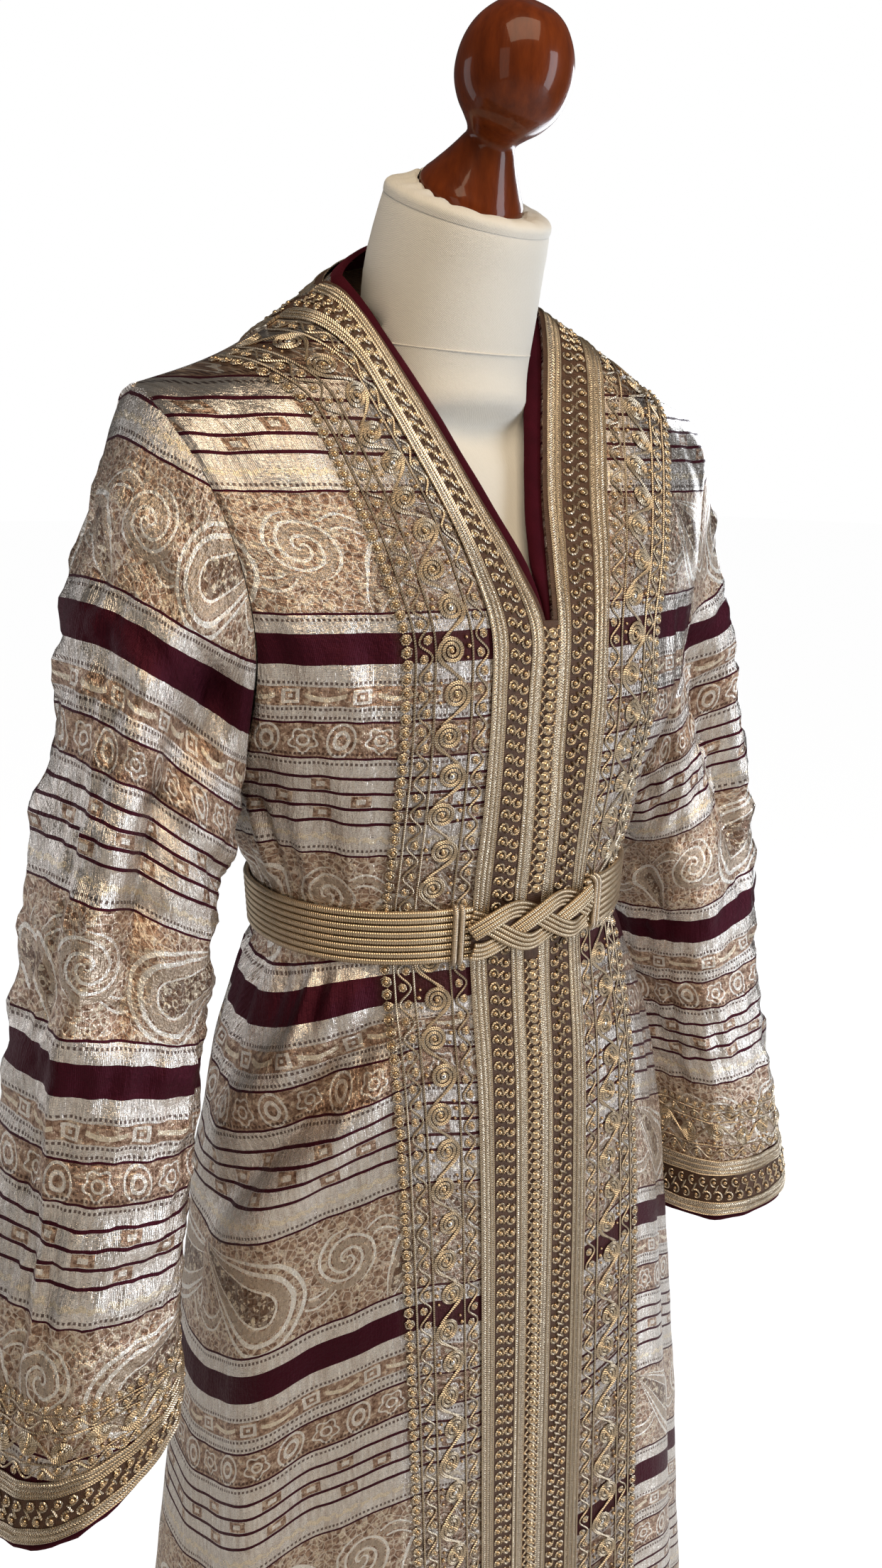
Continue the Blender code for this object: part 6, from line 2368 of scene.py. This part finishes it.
@dataclass(frozen=True)
class Studio:
    """Camera, pale floor and soft lights."""

    eye: tuple[float, float, float] = (-0.5176, -0.7383, 1.3655)
    yaw_deg: float = -35.2175
    pitch_deg: float = 14.6354
    roll_deg: float = -0.7245
    focal_px: float = 1697.8
    long_side_px: float = 2208.0

    def camera(self) -> None:
        """Place the camera where the photograph was taken from."""
        yaw, pitch, roll = (math.radians(a) for a in (self.yaw_deg, self.pitch_deg, self.roll_deg))
        back = np.array([math.sin(yaw) * math.cos(pitch), -math.cos(yaw) * math.cos(pitch), math.sin(pitch)])
        right = np.array([math.cos(yaw), math.sin(yaw), 0.0])
        up = np.cross(right, -back)
        right = math.cos(roll) * right - math.sin(roll) * up
        up = np.cross(right, -back)
        data = bpy.data.cameras.new("camera")
        data.sensor_width = 36.0
        data.lens = self.focal_px / self.long_side_px * 36.0
        data.clip_start = 0.02
        data.clip_end = 60.0
        camera = bpy.data.objects.new("camera", data)
        turn = np.column_stack([right, up, back])
        matrix = np.eye(4)
        matrix[:3, :3] = turn
        matrix[:3, 3] = self.eye
        camera.matrix_world = Matrix(matrix.tolist())
        bpy.context.scene.collection.objects.link(camera)
        bpy.context.scene.camera = camera
        bpy.context.scene.view_settings.view_transform = "Standard"

    @staticmethod
    def area(name: str, place: tuple[float, float, float], aim: tuple[float, float, float],
             size: tuple[float, float], power: float, colour: tuple[float, float, float]) -> None:
        """A soft light, width by height, that points at a place."""
        data = bpy.data.lights.new(name, "AREA")
        data.shape = "RECTANGLE"
        data.size, data.size_y = size
        data.energy = power
        data.color = colour
        light = bpy.data.objects.new(name, data)
        back = unit(np.array(place) - np.array(aim))
        right = unit(np.cross([0.0, 0.0, 1.0], back))
        matrix = np.eye(4)
        matrix[:3, :3] = np.column_stack([right, np.cross(back, right), back])
        matrix[:3, 3] = place
        light.matrix_world = Matrix(matrix.tolist())
        bpy.context.scene.collection.objects.link(light)

    def lights(self) -> None:
        """Tall soft panels round the form, warm on the left and cool on the right, in a dim pale room."""
        aim = (0.0, 0.0, 1.1)
        tall = (0.9, 2.3)
        self.area("warm panel", (-2.45, -1.55, 1.35), aim, tall, 8.0, (1.0, 0.90, 0.77))
        self.area("window panel", (1.75, -2.25, 1.20), aim, tall, 52.0, (0.84, 0.91, 1.0))
        self.area("right panel", (2.50, 1.30, 1.20), aim, tall, 52.0, (0.86, 0.93, 1.0))
        self.area("left panel", (-1.90, 2.00, 1.30), aim, tall, 12.0, (0.95, 0.96, 1.0))
        self.area("warm ceiling", (-0.5, -1.3, 3.0), (0.0, 0.0, 1.3), (1.9, 1.3), 40.0, (1.0, 0.82, 0.60))
        world = bpy.data.worlds.new("pale room")
        world.use_nodes = True
        self.two_faced(world.node_tree, world.node_tree.nodes["Background"], "ShaderNodeBackground",
                       1.0, 0.075)
        bpy.context.scene.world = world

    @staticmethod
    def two_faced(tree: bpy.types.NodeTree, plain: bpy.types.Node, kind: str, seen_strength: float,
                  strength: float | None = None, share: float = 1.0) -> None:
        """Show a bright plain white where the tree's own shader only lights the scene.

        Args:
            tree: the world's or the floor's node tree.
            plain: its own shader.
            kind: type of the shader that is seen.
            seen_strength: its strength.
            strength: the own shader's strength, if it has one.
            share: how much of the bright one is seen.
        """
        g = Graph(tree)
        if strength is not None:
            plain.inputs["Color"].default_value = (0.93, 0.94, 0.96, 1.0)
            plain.inputs["Strength"].default_value = strength
        seen = g.node(kind)
        seen.inputs["Color"].default_value = (1.0, 1.0, 1.0, 1.0)
        seen.inputs["Strength"].default_value = seen_strength
        seen_share = Field(g, g.node("ShaderNodeLightPath").outputs["Is Camera Ray"]) * share
        mixed = g.node("ShaderNodeMixShader")
        g.plug(mixed.inputs[0], seen_share)
        tree.links.new(plain.outputs[0], mixed.inputs[1])
        tree.links.new(seen.outputs[0], mixed.inputs[2])
        output = next(n for n in tree.nodes if n.type in ("OUTPUT_WORLD", "OUTPUT_MATERIAL"))
        tree.links.new(mixed.outputs[0], output.inputs[0])

    def floor(self) -> None:
        """A wide pale floor."""
        points = np.array([(-30.0, -30.0, 0.0), (30.0, -30.0, 0.0), (30.0, 30.0, 0.0), (-30.0, 30.0, 0.0)])
        made = Finishing()
        made.add(np.array([[0, 1, 2, 3]]), points[None, :, :2])
        material, g, shader = Materials.start("Pale floor")
        where = Materials.object_place(g)
        tone = g.mix(g.noise(where, 1.5, 3.0), (0.86, 0.86, 0.86, 1.0), (0.90, 0.90, 0.90, 1.0))
        g.plug(shader.inputs["Base Color"], tone)
        shader.inputs["Roughness"].default_value = 0.6
        self.two_faced(material.node_tree, shader, "ShaderNodeEmission", 1.22, share=0.80)
        put_mesh("floor", points, made, [material])


class Kaftan:
    """The whole garment on its form: builds every piece and ties it to the solids."""

    def __init__(self, kit: Materials) -> None:
        """Work out all the cloth first, because the trims lie on it."""
        self.kit = kit
        self.fronts = {side: FrontPanel(side) for side in Side}
        self.back = BackPanel()
        self.sleeves = {side: Sleeve(side) for side in Side}

    @staticmethod
    def settle(obj: bpy.types.Object | None, slot: Slot, *nodes: str) -> bpy.types.Object | None:
        """Let a piece ride on the part and stand for its solids.

        Args:
            obj: the piece, or nothing.
            slot: the record's material slot; not used.
            nodes: the solids that it stands for.

        Returns:
            The piece.
        """
        if obj is None:
            return None
        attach(obj, "root")
        if nodes:
            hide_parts(*nodes)
        LOG.info("%s: %d faces", obj.name, len(obj.data.polygons))
        return obj

    def cloth(self) -> None:
        """The five pieces of brocade."""
        cloth = [self.kit.brocade, self.kit.lining]
        for side in Side:
            front = self.settle(self.fronts[side].build(cloth), Slot.BROCADE, "front_" + side.word)
            sleeve = self.settle(self.sleeves[side].build(cloth), Slot.BROCADE, "sleeve_" + side.word)
        back = self.settle(self.back.build(cloth), Slot.BROCADE, "back_panel")

    def trims(self) -> None:
        """Bands, embroidery, buttons, cuffs and facings."""
        for side in Side:
            pieces = Placket(self.fronts[side]).build(self.kit)
            for kind, piece in pieces.items():
                nodes = ("placket_band_" + side.word,) if kind == "band" else ()
                self.settle(piece, Slot.TRIM, *nodes)
            pieces = Cuff(self.sleeves[side]).build(self.kit)
            for kind, piece in pieces.items():
                if kind == "facing":
                    self.settle(piece, Slot.VELVET, "cuff_facing_" + side.word)
                else:
                    self.settle(piece, Slot.TRIM, *(("cuff_band_" + side.word,) if kind == "band" else ()))
        for kind, piece in BackNeck(self.back).build(self.kit).items():
            self.settle(piece, Slot.TRIM, *(("neck_band_back",) if kind == "band" else ()))
        for kind, piece in ButtonColumn(self.fronts).build(self.kit).items():
            self.settle(piece, Slot.TRIM, *(("button_strip",) if kind == "ground" else ()))
        self.settle(NeckFacing(self.fronts).build(self.kit), Slot.VELVET, "neck_facing")

    def belt(self) -> None:
        """The strap, the plait and its keepers."""
        belt = Belt()
        self.settle(belt.strap(self.kit), Slot.BELT, "belt_strap")
        self.settle(belt.plait(self.kit), Slot.BELT, "belt_knot")
        self.settle(belt.backing(self.kit), Slot.BELT)
        for side in Side:
            self.settle(belt.keeper(side, self.kit), Slot.BELT, "belt_keeper_" + side.word)

    def form(self) -> None:
        """The dress form, its finial and its stand."""
        form = DressForm()
        self.settle(form.torso(self.kit), Slot.JERSEY, "form_body")
        self.settle(form.neck_cap(self.kit), Slot.JERSEY)
        self.settle(form.neck_seam(self.kit), Slot.JERSEY)
        self.settle(form.finial(self.kit), Slot.WOOD, "form_finial")
        pole, base = form.stand(self.kit)
        self.settle(pole, Slot.WOOD, "form_pole")
        self.settle(base, Slot.WOOD, "form_base")


def main() -> None:
    """Build the camera, the pieces and the light."""
    logging.basicConfig(level=logging.INFO, format="%(name)s %(message)s")
    for obj in list(bpy.data.objects):
        bpy.data.objects.remove(obj)
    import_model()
    studio = Studio()
    studio.camera()
    studio.lights()
    studio.floor()
    kaftan = Kaftan(Materials())
    kaftan.form()
    kaftan.cloth()
    kaftan.trims()
    kaftan.belt()


if __name__ == "__main__":
    main()
